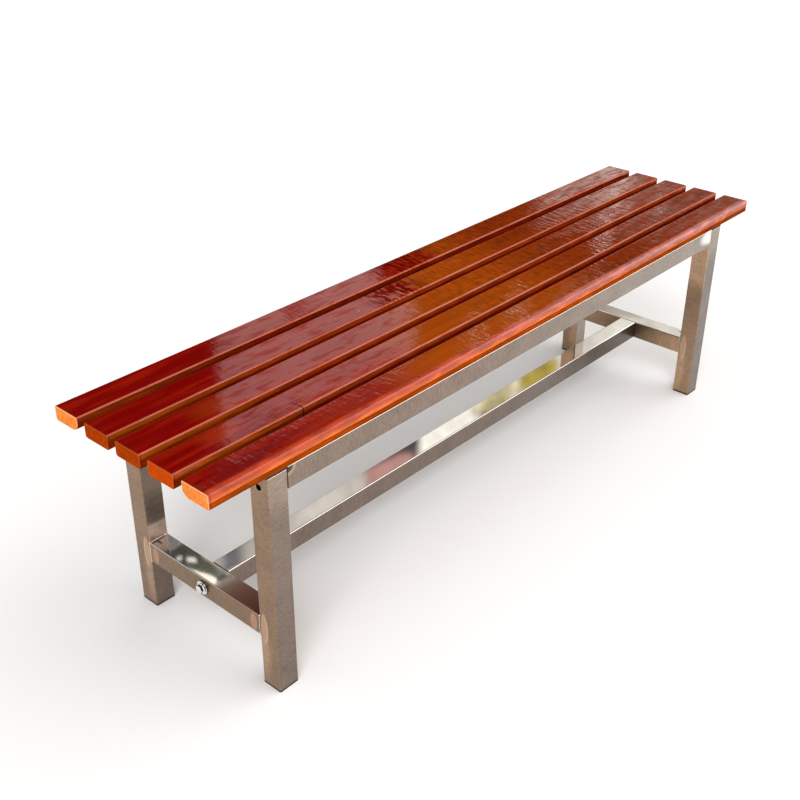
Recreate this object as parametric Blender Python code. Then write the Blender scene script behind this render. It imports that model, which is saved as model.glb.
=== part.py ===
"""Changing-room bench: five varnished timber slats on a bolted frame of square steel tube.

Metres, +Z up. The origin is on the floor under the middle of the bench, +X runs along the bench
to its right end, and -Y is its front.

The frame comes apart as the real one does. Each end frame is two legs and a crossbar. The seat
frame is two rails and three cross members under the slats. A stretcher joins the crossbars. Screws
inside the legs hold the rails, and one bolt through each crossbar holds the stretcher.
"""
import math

import bmesh
import bpy

# Clearances
CONTACT_GAP = 0.0003
BORE_CLEARANCE = 0.0003

# Seat
SEAT_LENGTH = 1.500
SEAT_HEIGHT = 0.425
SLAT_COUNT = 5
SLAT_WIDTH = 0.056
SLAT_THICKNESS = 0.025
SLAT_GAP = 0.0175
SLAT_EDGE_RADIUS = 0.003
SLAT_END_CHAMFER = 0.001
BULLNOSE_RADIUS = 0.0155
BULLNOSE_SWEEP = math.radians(84)

# Square tube of the legs, crossbars, rails and stretcher
TUBE_SIZE = 0.038
TUBE_WALL = 0.0012
TUBE_CORNER_RADIUS = 0.002

# Frame
END_OVERHANG = 0.104
FRAME_INSET = 0.003
CROSSBAR_TOP = 0.134
MEMBER_COUNT = 3
MEMBER_WIDTH = 0.038
MEMBER_HEIGHT = 0.025
MEMBER_SETBACK = 0.060

# Plugs in the ends of the legs
PLUG_HEAD = 0.0035
PLUG_HEAD_EASE = 0.0008
PLUG_STEM = 0.012
PLUG_STEM_WALL = 0.002

# Threaded plates welded into the ends of the rails and the stretcher
PLATE_THICKNESS = 0.003
PLATE_PROUD = 0.001
THREAD_PAST_NUT = 0.002

# Rail screws, with a socket head inside the leg
RAIL_BOLT_DROP = 0.024
RAIL_BOLT_DIAMETER = 0.006
RAIL_BOLT_HEAD_DIAMETER = 0.010
RAIL_BOLT_HEAD_HEIGHT = 0.006
RAIL_BOLT_SOCKET = 0.005
RAIL_BOLT_SOCKET_DEPTH = 0.003
RAIL_NUT_ACROSS = 0.010
RAIL_NUT_HEIGHT = 0.005

# Stretcher bolts, with a flanged hexagon head outside the crossbar
STRETCHER_BOLT_DIAMETER = 0.008
STRETCHER_BOLT_ACROSS = 0.013
STRETCHER_BOLT_HEX_HEIGHT = 0.005
STRETCHER_BOLT_FLANGE_DIAMETER = 0.018
STRETCHER_BOLT_FLANGE_HEIGHT = 0.0015
STRETCHER_BOLT_EDGE_EASE = 0.0006
STRETCHER_NUT_ACROSS = 0.013
STRETCHER_NUT_HEIGHT = 0.0065
WASHER_DIAMETER = 0.024
WASHER_THICKNESS = 0.002

# Slat screws, driven up from below
SCREW_DIAMETER = 0.0042
SCREW_HEAD_DIAMETER = 0.008
SCREW_HEAD_HEIGHT = 0.0026
SCREW_HEAD_RIM = 0.001
SCREW_HEAD_FLAT = 0.0032
SCREW_TIP_DIAMETER = 0.0006
SCREW_TIP_LENGTH = 0.004
WOOD_OVER_SCREW = 0.0125

# Facets and shading
TUBE_CORNER_STEPS = 3
SLAT_EDGE_STEPS = 3
BULLNOSE_STEPS = 9
BOLT_SIDES = 24
RAIL_BOLT_SIDES = 12
SCREW_SIDES = 8
SCREW_CROWN_STEPS = 2
HOLE_SIDES = 16
CUT_PAST_WALL = 0.003
SHARP_EDGE = math.radians(30)

# Worked out from the sizes above
SEAT_WIDTH = SLAT_COUNT * SLAT_WIDTH + (SLAT_COUNT - 1) * SLAT_GAP
SLAT_PITCH = SLAT_WIDTH + SLAT_GAP
SEAT_UNDERSIDE = SEAT_HEIGHT - SLAT_THICKNESS
FRAME_TOP = SEAT_UNDERSIDE - CONTACT_GAP
TUBE_HALF = TUBE_SIZE / 2
TUBE_BORE = TUBE_SIZE - 2 * TUBE_WALL
BORE_CORNER_RADIUS = max(TUBE_CORNER_RADIUS - TUBE_WALL, TUBE_WALL / 2)
PLUG_STEM_SIZE = TUBE_BORE - 2 * BORE_CLEARANCE
PLATE_SIZE = TUBE_BORE - 2 * BORE_CORNER_RADIUS + math.sqrt(2) * (BORE_CORNER_RADIUS - BORE_CLEARANCE)
LEG_X = SEAT_LENGTH / 2 - END_OVERHANG - TUBE_HALF
LEG_Y = SEAT_WIDTH / 2 - FRAME_INSET - TUBE_HALF
LEG_BOTTOM = PLUG_HEAD + CONTACT_GAP
LEG_TOP = FRAME_TOP - PLUG_HEAD - CONTACT_GAP
LEG_INNER_X = LEG_X - TUBE_HALF
LEG_OUTER_X = LEG_X + TUBE_HALF
PLATE_FACE_X = LEG_INNER_X - CONTACT_GAP
LONG_TUBE_HALF = PLATE_FACE_X - PLATE_PROUD
RAIL_AXIS_Z = FRAME_TOP - TUBE_HALF
RAIL_BOLT_Z = FRAME_TOP - RAIL_BOLT_DROP
CROSSBAR_Z = CROSSBAR_TOP - TUBE_HALF
MEMBER_Z = FRAME_TOP - MEMBER_HEIGHT / 2
MEMBER_REACH = LEG_INNER_X - MEMBER_SETBACK - MEMBER_WIDTH / 2
SCREW_BITE = SLAT_THICKNESS - WOOD_OVER_SCREW

SIDES = {"left": -1, "right": 1}
ROWS = {"front": -1, "back": 1}


def clear_scene():
    """Remove every object that the file opened with."""
    for item in list(bpy.data.objects):
        bpy.data.objects.remove(item, do_unlink=True)


def make_material(name, colour, roughness, metallic):
    """Return a Principled material of one colour."""
    material = bpy.data.materials.new(name)
    material.use_nodes = True
    shader = material.node_tree.nodes["Principled BSDF"]
    shader.inputs["Base Color"].default_value = (*colour, 1.0)
    shader.inputs["Roughness"].default_value = roughness
    shader.inputs["Metallic"].default_value = metallic
    material.diffuse_color = (*colour, 1.0)
    return material


def make_empty(name, location, parent=None):
    """Return an empty that carries a sub-assembly."""
    empty = bpy.data.objects.new(name, None)
    bpy.context.collection.objects.link(empty)
    empty.parent = parent
    empty.location = location
    return empty


def add_loft(bm, rings, closed=False):
    """Join rings of equal length into one skin, capped at its ends or closed on itself."""
    rows = [[bm.verts.new(point) for point in ring] for ring in rings]
    count = len(rows[0])
    pairs = list(zip(rows, rows[1:]))
    if closed:
        pairs.append((rows[-1], rows[0]))
    for low, high in pairs:
        for i in range(count):
            j = (i + 1) % count
            bm.faces.new((low[i], low[j], high[j], high[i]))
    if not closed:
        bm.faces.new(rows[0])
        bm.faces.new(rows[-1])


def make_solid(name, lofts, material=None, parent=None, location=(0, 0, 0), rotation=(0, 0, 0)):
    """Return an object made of lofts, each a list of rings and whether it closes on itself."""
    bm = bmesh.new()
    for rings, closed in lofts:
        add_loft(bm, rings, closed)
    bmesh.ops.recalc_face_normals(bm, faces=bm.faces)
    mesh = bpy.data.meshes.new(name)
    bm.to_mesh(mesh)
    bm.free()
    mesh.shade_smooth()
    mesh.set_sharp_from_angle(angle=SHARP_EDGE)
    solid = bpy.data.objects.new(name, mesh)
    bpy.context.collection.objects.link(solid)
    if material:
        mesh.materials.append(material)
    solid.parent = parent
    solid.location = location
    solid.rotation_euler = rotation
    return solid


def drill(target, holes):
    """Cut round holes, each a start point, an end point and a radius, in the world's frame."""
    lofts = []
    for start, end, radius in holes:
        axis = next(i for i in range(3) if start[i] != end[i])
        lofts.append(([bore_ring(start, axis, radius), bore_ring(end, axis, radius)], False))
    cutter = make_solid("cut_" + target.name, lofts)
    cutter.hide_render = True
    cutter.display_type = "WIRE"
    modifier = target.modifiers.new("holes", "BOOLEAN")
    modifier.operation = "DIFFERENCE"
    modifier.solver = "EXACT"
    modifier.object = cutter


def bore_ring(centre, axis, radius):
    """Return a circle of points about a centre, square to one of the world's axes."""
    ring = []
    for x, y, _ in circle(radius, 0, HOLE_SIDES):
        point = list(centre)
        point[(axis + 1) % 3] += x
        point[(axis + 2) % 3] += y
        ring.append(tuple(point))
    return ring


def angles(sides):
    """Return equal steps round a full turn."""
    return [2 * math.pi * i / sides for i in range(sides)]


def circle(radius, z, sides):
    """Return a circle of points at one height."""
    return [(radius * math.cos(a), radius * math.sin(a), z) for a in angles(sides)]


def hexagon(across_flats, z, sides):
    """Return points on a hexagon at one height, with a corner on +X."""
    points = []
    for a in angles(sides):
        from_flat = a % (math.pi / 3) - math.pi / 6
        reach = across_flats / 2 / math.cos(from_flat)
        points.append((reach * math.cos(a), reach * math.sin(a), z))
    return points


def square(size, z, sides):
    """Return points on a square at one height, with its corners at odd eighths of a turn."""
    points = []
    for a in angles(sides):
        reach = size / 2 / max(abs(math.cos(a)), abs(math.sin(a)))
        points.append((reach * math.cos(a), reach * math.sin(a), z))
    return points


def shifted(ring, dx):
    """Return a ring moved along X."""
    return [(x + dx, y, z) for x, y, z in ring]


def rounded_rectangle(width, height, radius, steps):
    """Return the (u, v) outline of a rectangle with round corners, turning from +U towards +V."""
    radius = min(radius, width / 2, height / 2)
    outline = []
    for i in range(4):
        turn = i * math.pi / 2
        corner_u = (width / 2 - radius) * (1 if i in (0, 3) else -1)
        corner_v = (height / 2 - radius) * (1 if i in (0, 1) else -1)
        for step in range(steps + 1):
            a = turn + math.pi / 2 * step / steps
            outline.append((corner_u + radius * math.cos(a), corner_v + radius * math.sin(a)))
    return outline


def make_tube(name, length, width, height, material, parent, location, rotation=(0, 0, 0)):
    """Return an open square tube that runs along its own X axis."""
    bore_width, bore_height = width - 2 * TUBE_WALL, height - 2 * TUBE_WALL
    outer = rounded_rectangle(width, height, TUBE_CORNER_RADIUS, TUBE_CORNER_STEPS)
    inner = rounded_rectangle(bore_width, bore_height, BORE_CORNER_RADIUS, TUBE_CORNER_STEPS)
    low, high = -length / 2, length / 2
    rings = [[(x, u, v) for u, v in outline]
             for outline, x in ((outer, low), (outer, high), (inner, high), (inner, low))]
    return make_solid(name, [(rings, True)], material, parent, location, rotation)


def slat_outline(front_edge, back_edge):
    """Return a slat's (y, z) section about its middle; True rounds that edge as the seat's nosing."""
    half_width, half_height = SLAT_WIDTH / 2, SLAT_THICKNESS / 2
    small = SLAT_EDGE_RADIUS
    outline = []
    for sign, nosed in ((1, back_edge), (-1, front_edge)):
        edge = []
        for step in range(SLAT_EDGE_STEPS + 1):
            a = math.pi / 2 * (step / SLAT_EDGE_STEPS - 1)
            across = half_width - small + small * math.cos(a)
            edge.append((across, -half_height + small + small * math.sin(a)))
        if nosed:
            steps, radius, start = BULLNOSE_STEPS, BULLNOSE_RADIUS, math.pi / 2 - BULLNOSE_SWEEP
        else:
            steps, radius, start = SLAT_EDGE_STEPS, small, 0
        middle_y = half_width - radius * math.cos(start)
        middle_z = half_height - radius
        for step in range(steps + 1):
            a = start + (math.pi / 2 - start) * step / steps
            edge.append((middle_y + radius * math.cos(a), middle_z + radius * math.sin(a)))
        edge = [(sign * y, z) for y, z in edge]
        outline += edge if sign > 0 else edge[::-1]
    return outline


def slat_y(index):
    """Return the middle of a slat across the bench, the first one at the front."""
    return -SEAT_WIDTH / 2 + SLAT_WIDTH / 2 + index * SLAT_PITCH


def screw_y(index):
    """Return where a slat's screws stand: over the rail for the outer slats, else mid-slat."""
    if index == 0:
        return -LEG_Y
    if index == SLAT_COUNT - 1:
        return LEG_Y
    return slat_y(index)


def is_outer(index):
    """Say whether a slat is the front one or the back one."""
    return index in (0, SLAT_COUNT - 1)


def member_x(index):
    """Return the middle of a cross member along the bench."""
    return -MEMBER_REACH + 2 * MEMBER_REACH * index / (MEMBER_COUNT - 1)


def member_names():
    """Return the cross members' short names, from the left end to the right."""
    inner = ["middle"] if MEMBER_COUNT == 3 else [f"inner_{i}" for i in range(1, MEMBER_COUNT - 1)]
    return ["left"] + inner + ["right"]


def make_slats(material, parent):
    """Make the slats, with a blind hole over each screw."""
    half_length = SEAT_LENGTH / 2
    narrow = 1 - 2 * SLAT_END_CHAMFER / SLAT_WIDTH
    flat = 1 - 2 * SLAT_END_CHAMFER / SLAT_THICKNESS
    for index in range(SLAT_COUNT):
        outline = slat_outline(front_edge=index == 0, back_edge=index == SLAT_COUNT - 1)
        rings = []
        for x, at_end in ((-half_length, True), (-half_length + SLAT_END_CHAMFER, False),
                          (half_length - SLAT_END_CHAMFER, False), (half_length, True)):
            rings.append([(x, y * narrow, z * flat) if at_end else (x, y, z) for y, z in outline])
        middle = (0, slat_y(index), SEAT_HEIGHT - SLAT_THICKNESS / 2)
        slat = make_solid(f"slat_{index + 1}", [(rings, False)], material, parent, middle)
        radius = SCREW_DIAMETER / 2 + BORE_CLEARANCE
        top = SEAT_UNDERSIDE + SCREW_BITE + BORE_CLEARANCE
        y = screw_y(index)
        drill(slat, [((member_x(i), y, SEAT_UNDERSIDE - CUT_PAST_WALL), (member_x(i), y, top), radius)
                     for i in range(MEMBER_COUNT)])


def screw_rings(length):
    """Return a slat screw's rings, from its tip below to the top of its pan head."""
    shank, head, flat = SCREW_DIAMETER / 2, SCREW_HEAD_DIAMETER / 2, SCREW_HEAD_FLAT / 2
    crown = SCREW_HEAD_HEIGHT - SCREW_HEAD_RIM
    sections = [(SCREW_TIP_DIAMETER / 2, -length), (shank, SCREW_TIP_LENGTH - length), (shank, 0), (head, 0)]
    for step in range(SCREW_CROWN_STEPS + 1):
        a = math.pi / 2 * step / SCREW_CROWN_STEPS
        sections.append((flat + (head - flat) * math.cos(a), SCREW_HEAD_RIM + crown * math.sin(a)))
    return [circle(radius, z, SCREW_SIDES) for radius, z in sections]


def make_screws(material, parent):
    """Make the slat screws, up through the cross members and, at the outer slats, the rails."""
    for i, place in enumerate(member_names()):
        for index in range(SLAT_COUNT):
            depth = TUBE_SIZE if is_outer(index) else MEMBER_HEIGHT
            length = depth + 2 * CONTACT_GAP + SCREW_BITE
            bearing = (member_x(i), screw_y(index), FRAME_TOP - depth - CONTACT_GAP)
            make_solid(f"slat_screw_{place}_{index + 1}", [(screw_rings(length), False)],
                       material, parent, bearing, (math.pi, 0, 0))


def screw_hole(x, y, depth):
    """Return the straight hole that a slat screw needs through a tube of some depth."""
    low = FRAME_TOP - depth - CUT_PAST_WALL
    return ((x, y, low), (x, y, FRAME_TOP + CUT_PAST_WALL), SCREW_DIAMETER / 2 + BORE_CLEARANCE)


def make_seat_frame(material, parent):
    """Make the two rails and the cross members between them."""
    for row, sign in ROWS.items():
        rail = make_tube(f"rail_{row}", 2 * LONG_TUBE_HALF, TUBE_SIZE, TUBE_SIZE, material, parent,
                         (0, sign * LEG_Y, RAIL_AXIS_Z))
        drill(rail, [screw_hole(member_x(i), sign * LEG_Y, TUBE_SIZE) for i in range(MEMBER_COUNT)])
    length = 2 * (LEG_Y - TUBE_HALF - CONTACT_GAP)
    for i, place in enumerate(member_names()):
        member = make_tube(f"cross_member_{place}", length, MEMBER_WIDTH, MEMBER_HEIGHT, material, parent,
                           (member_x(i), 0, MEMBER_Z), (0, 0, math.pi / 2))
        drill(member, [screw_hole(member_x(i), screw_y(index), MEMBER_HEIGHT)
                       for index in range(SLAT_COUNT) if not is_outer(index)])


def plug_rings():
    """Return a plug's rings: its eased head stands up from z = 0 and its hollow stem hangs below."""
    stem, stem_corner = PLUG_STEM_SIZE, BORE_CORNER_RADIUS
    pocket = stem - 2 * PLUG_STEM_WALL
    head_corner = TUBE_CORNER_RADIUS
    eased = TUBE_SIZE - 2 * PLUG_HEAD_EASE
    sections = [(eased, head_corner, PLUG_HEAD), (TUBE_SIZE, head_corner, PLUG_HEAD - PLUG_HEAD_EASE),
                (TUBE_SIZE, head_corner, 0), (stem, stem_corner, 0), (stem, stem_corner, -PLUG_STEM),
                (pocket, stem_corner, -PLUG_STEM), (pocket, stem_corner, 0)]
    return [[(u, v, z) for u, v in rounded_rectangle(size, size, corner, TUBE_CORNER_STEPS)]
            for size, corner, z in sections]


def make_end_frame(side, steel, plastic, parent):
    """Make one end: two legs with a plug in each end, and the crossbar between them."""
    sign = SIDES[side]
    for row, y_sign in ROWS.items():
        y = y_sign * LEG_Y
        leg = make_tube(f"leg_{side}_{row}", LEG_TOP - LEG_BOTTOM, TUBE_SIZE, TUBE_SIZE, steel, parent,
                        (0, y, (LEG_TOP + LEG_BOTTOM) / 2), (0, math.pi / 2, 0))
        access = RAIL_BOLT_HEAD_DIAMETER / 2 + BORE_CLEARANCE
        shank = RAIL_BOLT_DIAMETER / 2 + BORE_CLEARANCE
        walls = ((LEG_OUTER_X, -1, access), (LEG_INNER_X, 1, shank))
        drill(leg, [((sign * (face - inward * CUT_PAST_WALL), y, RAIL_BOLT_Z),
                     (sign * (face + inward * (TUBE_WALL + CUT_PAST_WALL)), y, RAIL_BOLT_Z), radius)
                    for face, inward, radius in walls])
        make_solid(f"top_plug_{side}_{row}", [(plug_rings(), False)], plastic, parent,
                   (0, y, LEG_TOP + CONTACT_GAP))
        make_solid(f"foot_plug_{side}_{row}", [(plug_rings(), False)], plastic, parent,
                   (0, y, LEG_BOTTOM - CONTACT_GAP), (math.pi, 0, 0))
    length = 2 * (LEG_Y - TUBE_HALF - CONTACT_GAP)
    crossbar = make_tube(f"crossbar_{side}", length, TUBE_SIZE, TUBE_SIZE, steel, parent,
                         (0, 0, CROSSBAR_Z), (0, 0, math.pi / 2))
    drill(crossbar, [((sign * (LEG_OUTER_X + CUT_PAST_WALL), 0, CROSSBAR_Z),
                      (sign * (LEG_INNER_X - CUT_PAST_WALL), 0, CROSSBAR_Z),
                      STRETCHER_BOLT_DIAMETER / 2 + BORE_CLEARANCE)])


def nut_plate_rings(hole, across, height, offset):
    """Return the rings of a square plate with a nut behind it and a bore through both."""
    sides = BOLT_SIDES
    back = -PLATE_THICKNESS
    end = back - height
    nut = [hexagon(across, back, sides), hexagon(across, end, sides), circle(hole, end, sides),
           circle(hole, 0, sides)]
    return [square(PLATE_SIZE, 0, sides), square(PLATE_SIZE, back, sides),
            *(shifted(ring, offset) for ring in nut)]


def rail_bolt_rings():
    """Return a socket screw's rings, with the underside of its head at z = 0."""
    sides = RAIL_BOLT_SIDES
    shank, head = RAIL_BOLT_DIAMETER / 2, RAIL_BOLT_HEAD_DIAMETER / 2
    length = TUBE_WALL + 2 * CONTACT_GAP + PLATE_THICKNESS + RAIL_NUT_HEIGHT + THREAD_PAST_NUT
    floor = RAIL_BOLT_HEAD_HEIGHT - RAIL_BOLT_SOCKET_DEPTH
    top = RAIL_BOLT_HEAD_HEIGHT
    return [circle(shank, -length, sides), circle(shank, 0, sides), circle(head, 0, sides),
            circle(head, top, sides), hexagon(RAIL_BOLT_SOCKET, top, sides),
            hexagon(RAIL_BOLT_SOCKET, floor, sides)]


def stretcher_bolt_rings():
    """Return a flanged hexagon bolt's rings, with the underside of its flange at z = 0."""
    sides = BOLT_SIDES
    shank, flange = STRETCHER_BOLT_DIAMETER / 2, STRETCHER_BOLT_FLANGE_DIAMETER / 2
    length = (WASHER_THICKNESS + TUBE_SIZE + 3 * CONTACT_GAP + PLATE_THICKNESS + STRETCHER_NUT_HEIGHT
              + THREAD_PAST_NUT)
    rim = STRETCHER_BOLT_FLANGE_HEIGHT
    top = rim + STRETCHER_BOLT_HEX_HEIGHT
    ease = STRETCHER_BOLT_EDGE_EASE
    across = STRETCHER_BOLT_ACROSS
    return [circle(shank, -length, sides), circle(shank, 0, sides), circle(flange, 0, sides),
            circle(flange, rim - ease, sides), circle(flange - ease, rim, sides),
            hexagon(across, rim, sides), hexagon(across, top - ease, sides),
            circle(across / 2 - ease, top, sides)]


def washer_rings():
    """Return a flat washer's rings, standing up from z = 0."""
    outer, bore = WASHER_DIAMETER / 2, STRETCHER_BOLT_DIAMETER / 2 + BORE_CLEARANCE
    return [circle(outer, 0, BOLT_SIDES), circle(outer, WASHER_THICKNESS, BOLT_SIDES),
            circle(bore, WASHER_THICKNESS, BOLT_SIDES), circle(bore, 0, BOLT_SIDES)]


def make_rail_joints(side, bolt_steel, plate_steel, parent):
    """Make, at one end, the plate welded into each rail and the screw that holds it to its leg."""
    sign = SIDES[side]
    outward = (0, sign * math.pi / 2, 0)
    drop = sign * (RAIL_AXIS_Z - RAIL_BOLT_Z)
    hole = RAIL_BOLT_DIAMETER / 2 + BORE_CLEARANCE
    for row, y_sign in ROWS.items():
        y = y_sign * LEG_Y
        make_solid(f"rail_nut_plate_{side}_{row}",
                   [(nut_plate_rings(hole, RAIL_NUT_ACROSS, RAIL_NUT_HEIGHT, drop), True)],
                   plate_steel, parent, (sign * PLATE_FACE_X, y, RAIL_AXIS_Z), outward)
        bearing = LEG_INNER_X + TUBE_WALL + CONTACT_GAP
        make_solid(f"rail_bolt_{side}_{row}", [(rail_bolt_rings(), False)], bolt_steel, parent,
                   (sign * bearing, y, RAIL_BOLT_Z), outward)


def make_stretcher_joint(side, bolt_steel, plate_steel, parent):
    """Make, at one end, the stretcher's welded plate, the washer and the bolt through the crossbar."""
    sign = SIDES[side]
    outward = (0, sign * math.pi / 2, 0)
    hole = STRETCHER_BOLT_DIAMETER / 2 + BORE_CLEARANCE
    make_solid(f"stretcher_nut_plate_{side}",
               [(nut_plate_rings(hole, STRETCHER_NUT_ACROSS, STRETCHER_NUT_HEIGHT, 0), True)],
               plate_steel, parent, (sign * PLATE_FACE_X, 0, CROSSBAR_Z), outward)
    washer_x = LEG_OUTER_X + CONTACT_GAP
    make_solid(f"stretcher_washer_{side}", [(washer_rings(), True)], bolt_steel, parent,
               (sign * washer_x, 0, CROSSBAR_Z), outward)
    bolt_x = washer_x + WASHER_THICKNESS + CONTACT_GAP
    make_solid(f"stretcher_bolt_{side}", [(stretcher_bolt_rings(), False)], bolt_steel, parent,
               (sign * bolt_x, 0, CROSSBAR_Z), outward)


def build():
    """Build the whole bench."""
    clear_scene()
    wood = make_material("varnished_wood", (0.30, 0.045, 0.015), 0.2, 0.0)
    steel = make_material("stainless_tube", (0.55, 0.51, 0.47), 0.35, 1.0)
    bright = make_material("zinc_fastener", (0.72, 0.72, 0.70), 0.25, 1.0)
    dull = make_material("mild_steel_plate", (0.35, 0.34, 0.33), 0.5, 1.0)
    plastic = make_material("black_plastic", (0.012, 0.012, 0.012), 0.55, 0.0)

    bench = make_empty("bench", (0, 0, 0))
    seat = make_empty("seat", (0, 0, 0), bench)
    seat_frame = make_empty("seat_frame", (0, 0, 0), bench)
    make_slats(wood, seat)
    make_screws(bright, seat)
    make_seat_frame(steel, seat_frame)
    make_tube("stretcher", 2 * LONG_TUBE_HALF, TUBE_SIZE, TUBE_SIZE, steel, bench, (0, 0, CROSSBAR_Z))
    for side, sign in SIDES.items():
        end_frame = make_empty(f"end_frame_{side}", (sign * LEG_X, 0, 0), bench)
        make_end_frame(side, steel, plastic, end_frame)
        make_rail_joints(side, bright, dull, bench)
        make_stretcher_joint(side, bright, dull, bench)


build()
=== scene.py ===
"""Looks of a changing-room bench: five varnished timber slats on a frame of brushed square tube.

Metres, +Z up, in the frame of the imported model. +X runs along the bench to its right end, and -Y is
its front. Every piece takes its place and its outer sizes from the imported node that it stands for.
"""
import enum
import itertools
import logging
import math
from dataclasses import dataclass
from typing import Any, Iterable, Optional, Sequence, Union

import bmesh
import bpy
from bpy.types import GeometryNodeTree, ID, Material, Mesh, Node, NodeSocket, NodeTree, Object
from mathutils import Matrix, Vector

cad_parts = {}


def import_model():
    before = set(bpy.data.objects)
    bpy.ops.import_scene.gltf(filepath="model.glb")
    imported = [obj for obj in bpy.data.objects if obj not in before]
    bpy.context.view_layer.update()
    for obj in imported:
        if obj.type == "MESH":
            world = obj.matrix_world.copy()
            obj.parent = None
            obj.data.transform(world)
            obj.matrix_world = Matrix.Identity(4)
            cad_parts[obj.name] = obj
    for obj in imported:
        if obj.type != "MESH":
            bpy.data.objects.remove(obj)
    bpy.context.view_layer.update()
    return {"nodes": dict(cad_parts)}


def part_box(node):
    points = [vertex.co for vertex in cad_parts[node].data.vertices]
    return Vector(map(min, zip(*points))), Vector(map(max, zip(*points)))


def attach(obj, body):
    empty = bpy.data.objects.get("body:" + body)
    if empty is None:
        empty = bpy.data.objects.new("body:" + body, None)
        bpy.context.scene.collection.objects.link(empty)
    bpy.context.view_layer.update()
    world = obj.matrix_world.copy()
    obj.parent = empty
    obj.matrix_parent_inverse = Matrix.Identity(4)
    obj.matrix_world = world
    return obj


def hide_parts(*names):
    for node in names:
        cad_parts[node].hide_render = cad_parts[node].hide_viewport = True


LOG = logging.getLogger("bench")
BODY = "root"
SIDES = {"left": -1, "right": 1}
ROWS = ("front", "back")
MEMBERS = ("left", "middle", "right")
OUTER_SLATS = (1, 5)
INNER_SLATS = (2, 3, 4)
SHARP_EDGE = math.radians(32)
DEGREES = 180 / math.pi
MILLIMETRE = 0.001
NOISE_MIDDLE = 0.5
WHITE = (1.0, 1.0, 1.0)

Colour = tuple[float, float, float]
Point = tuple[float, float, float]
Pair = tuple[float, float]
Span = tuple[float, float]
Band = tuple[float, float, float]
Outline = list[Pair]
Ring = list[Point]
Feeds = dict[Union[int, str], "Feed"]

# Where one part of the bench gives way to the next, along X, Y and Z.
RIGHT_HALF: Span = (-0.1, 0.1)
BACK_HALF: Span = (0.0, 0.1)
UNDER_SEAT: Span = (0.2, 0.3)


class Run(enum.Enum):
    """The axis that a tube runs along."""

    X = 0
    Y = 1
    Z = 2


class Slot(enum.Enum):
    """The record's material slots."""

    WOOD = "varnished_wood"
    TUBE = "stainless_tube"
    FASTENER = "zinc_fastener"
    PLATE = "mild_steel_plate"
    PLASTIC = "black_plastic"


class Value:
    """A number that changes over a surface, with arithmetic that adds Math nodes."""

    def __init__(self, sheet: "Sheet", socket: NodeSocket) -> None:
        """Wrap a socket."""
        self.sheet = sheet
        self.socket = socket

    def maths(self, operation: str, *others: "Number") -> "Value":
        """Return this value put through a Math node."""
        return self.sheet.maths(operation, self, *others)

    def __add__(self, other: "Number") -> "Value":
        """Return the sum."""
        return self.maths("ADD", other)

    def __sub__(self, other: "Number") -> "Value":
        """Return the difference."""
        return self.maths("SUBTRACT", other)

    def __rsub__(self, other: "Number") -> "Value":
        """Return the other number less this one."""
        return self.sheet.maths("SUBTRACT", other, self)

    def __mul__(self, other: "Number") -> "Value":
        """Return the product."""
        return self.maths("MULTIPLY", other)

    def __truediv__(self, other: "Number") -> "Value":
        """Return the quotient."""
        return self.maths("DIVIDE", other)

    def __rtruediv__(self, other: "Number") -> "Value":
        """Return the other number over this one."""
        return self.sheet.maths("DIVIDE", other, self)

    def __abs__(self) -> "Value":
        """Return the size without the sign."""
        return self.maths("ABSOLUTE")

    __radd__ = __add__
    __rmul__ = __mul__

    def floor(self) -> "Value":
        """Return the whole number at or below this one."""
        return self.maths("FLOOR")

    def swing(self) -> "Value":
        """Return how far a noise is above its middle."""
        return self - NOISE_MIDDLE

    def smaller(self, other: "Number") -> "Value":
        """Return the smaller of two numbers."""
        return self.maths("MINIMUM", other)

    def larger(self, other: "Number") -> "Value":
        """Return the larger of two numbers."""
        return self.maths("MAXIMUM", other)

    def rise(self, low: "Number", high: "Number") -> "Value":
        """Return a smooth rise from 0 at one number to 1 at another."""
        return self.sheet.value("ShaderNodeMapRange", {"interpolation_type": "SMOOTHSTEP"},
                                {0: self, 1: low, 2: high, 3: 0.0, 4: 1.0})

    def band(self, middle: float, reach: float, soft: float) -> "Value":
        """Return 1 near one number, falling to 0 on both sides."""
        return 1 - abs(self - middle).rise(reach, reach + soft)


Number = Union[Value, float]
Feed = Union[Value, NodeSocket, float, int, bool, tuple, str, ID]


@dataclass(frozen=True)
class Pattern:
    """A noise: its spots to the metre along each axis, its finer layers and how far it swirls."""

    scale: Point
    detail: float = 2.0
    swirl: float = 0.0


def even(scale: float, detail: float = 2.0, swirl: float = 0.0) -> Pattern:
    """Return a noise with the same scale along every axis."""
    return Pattern((scale, scale, scale), detail, swirl)


@dataclass(frozen=True)
class Tone:
    """An amount made of a base and a weight for each of some values."""

    base: float
    weights: tuple[float, ...]

    def of(self, *values: Number) -> Value:
        """Return the base and every value times its weight, added up."""
        return self.base + sum(weight * value for weight, value in zip(self.weights, values))


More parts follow.
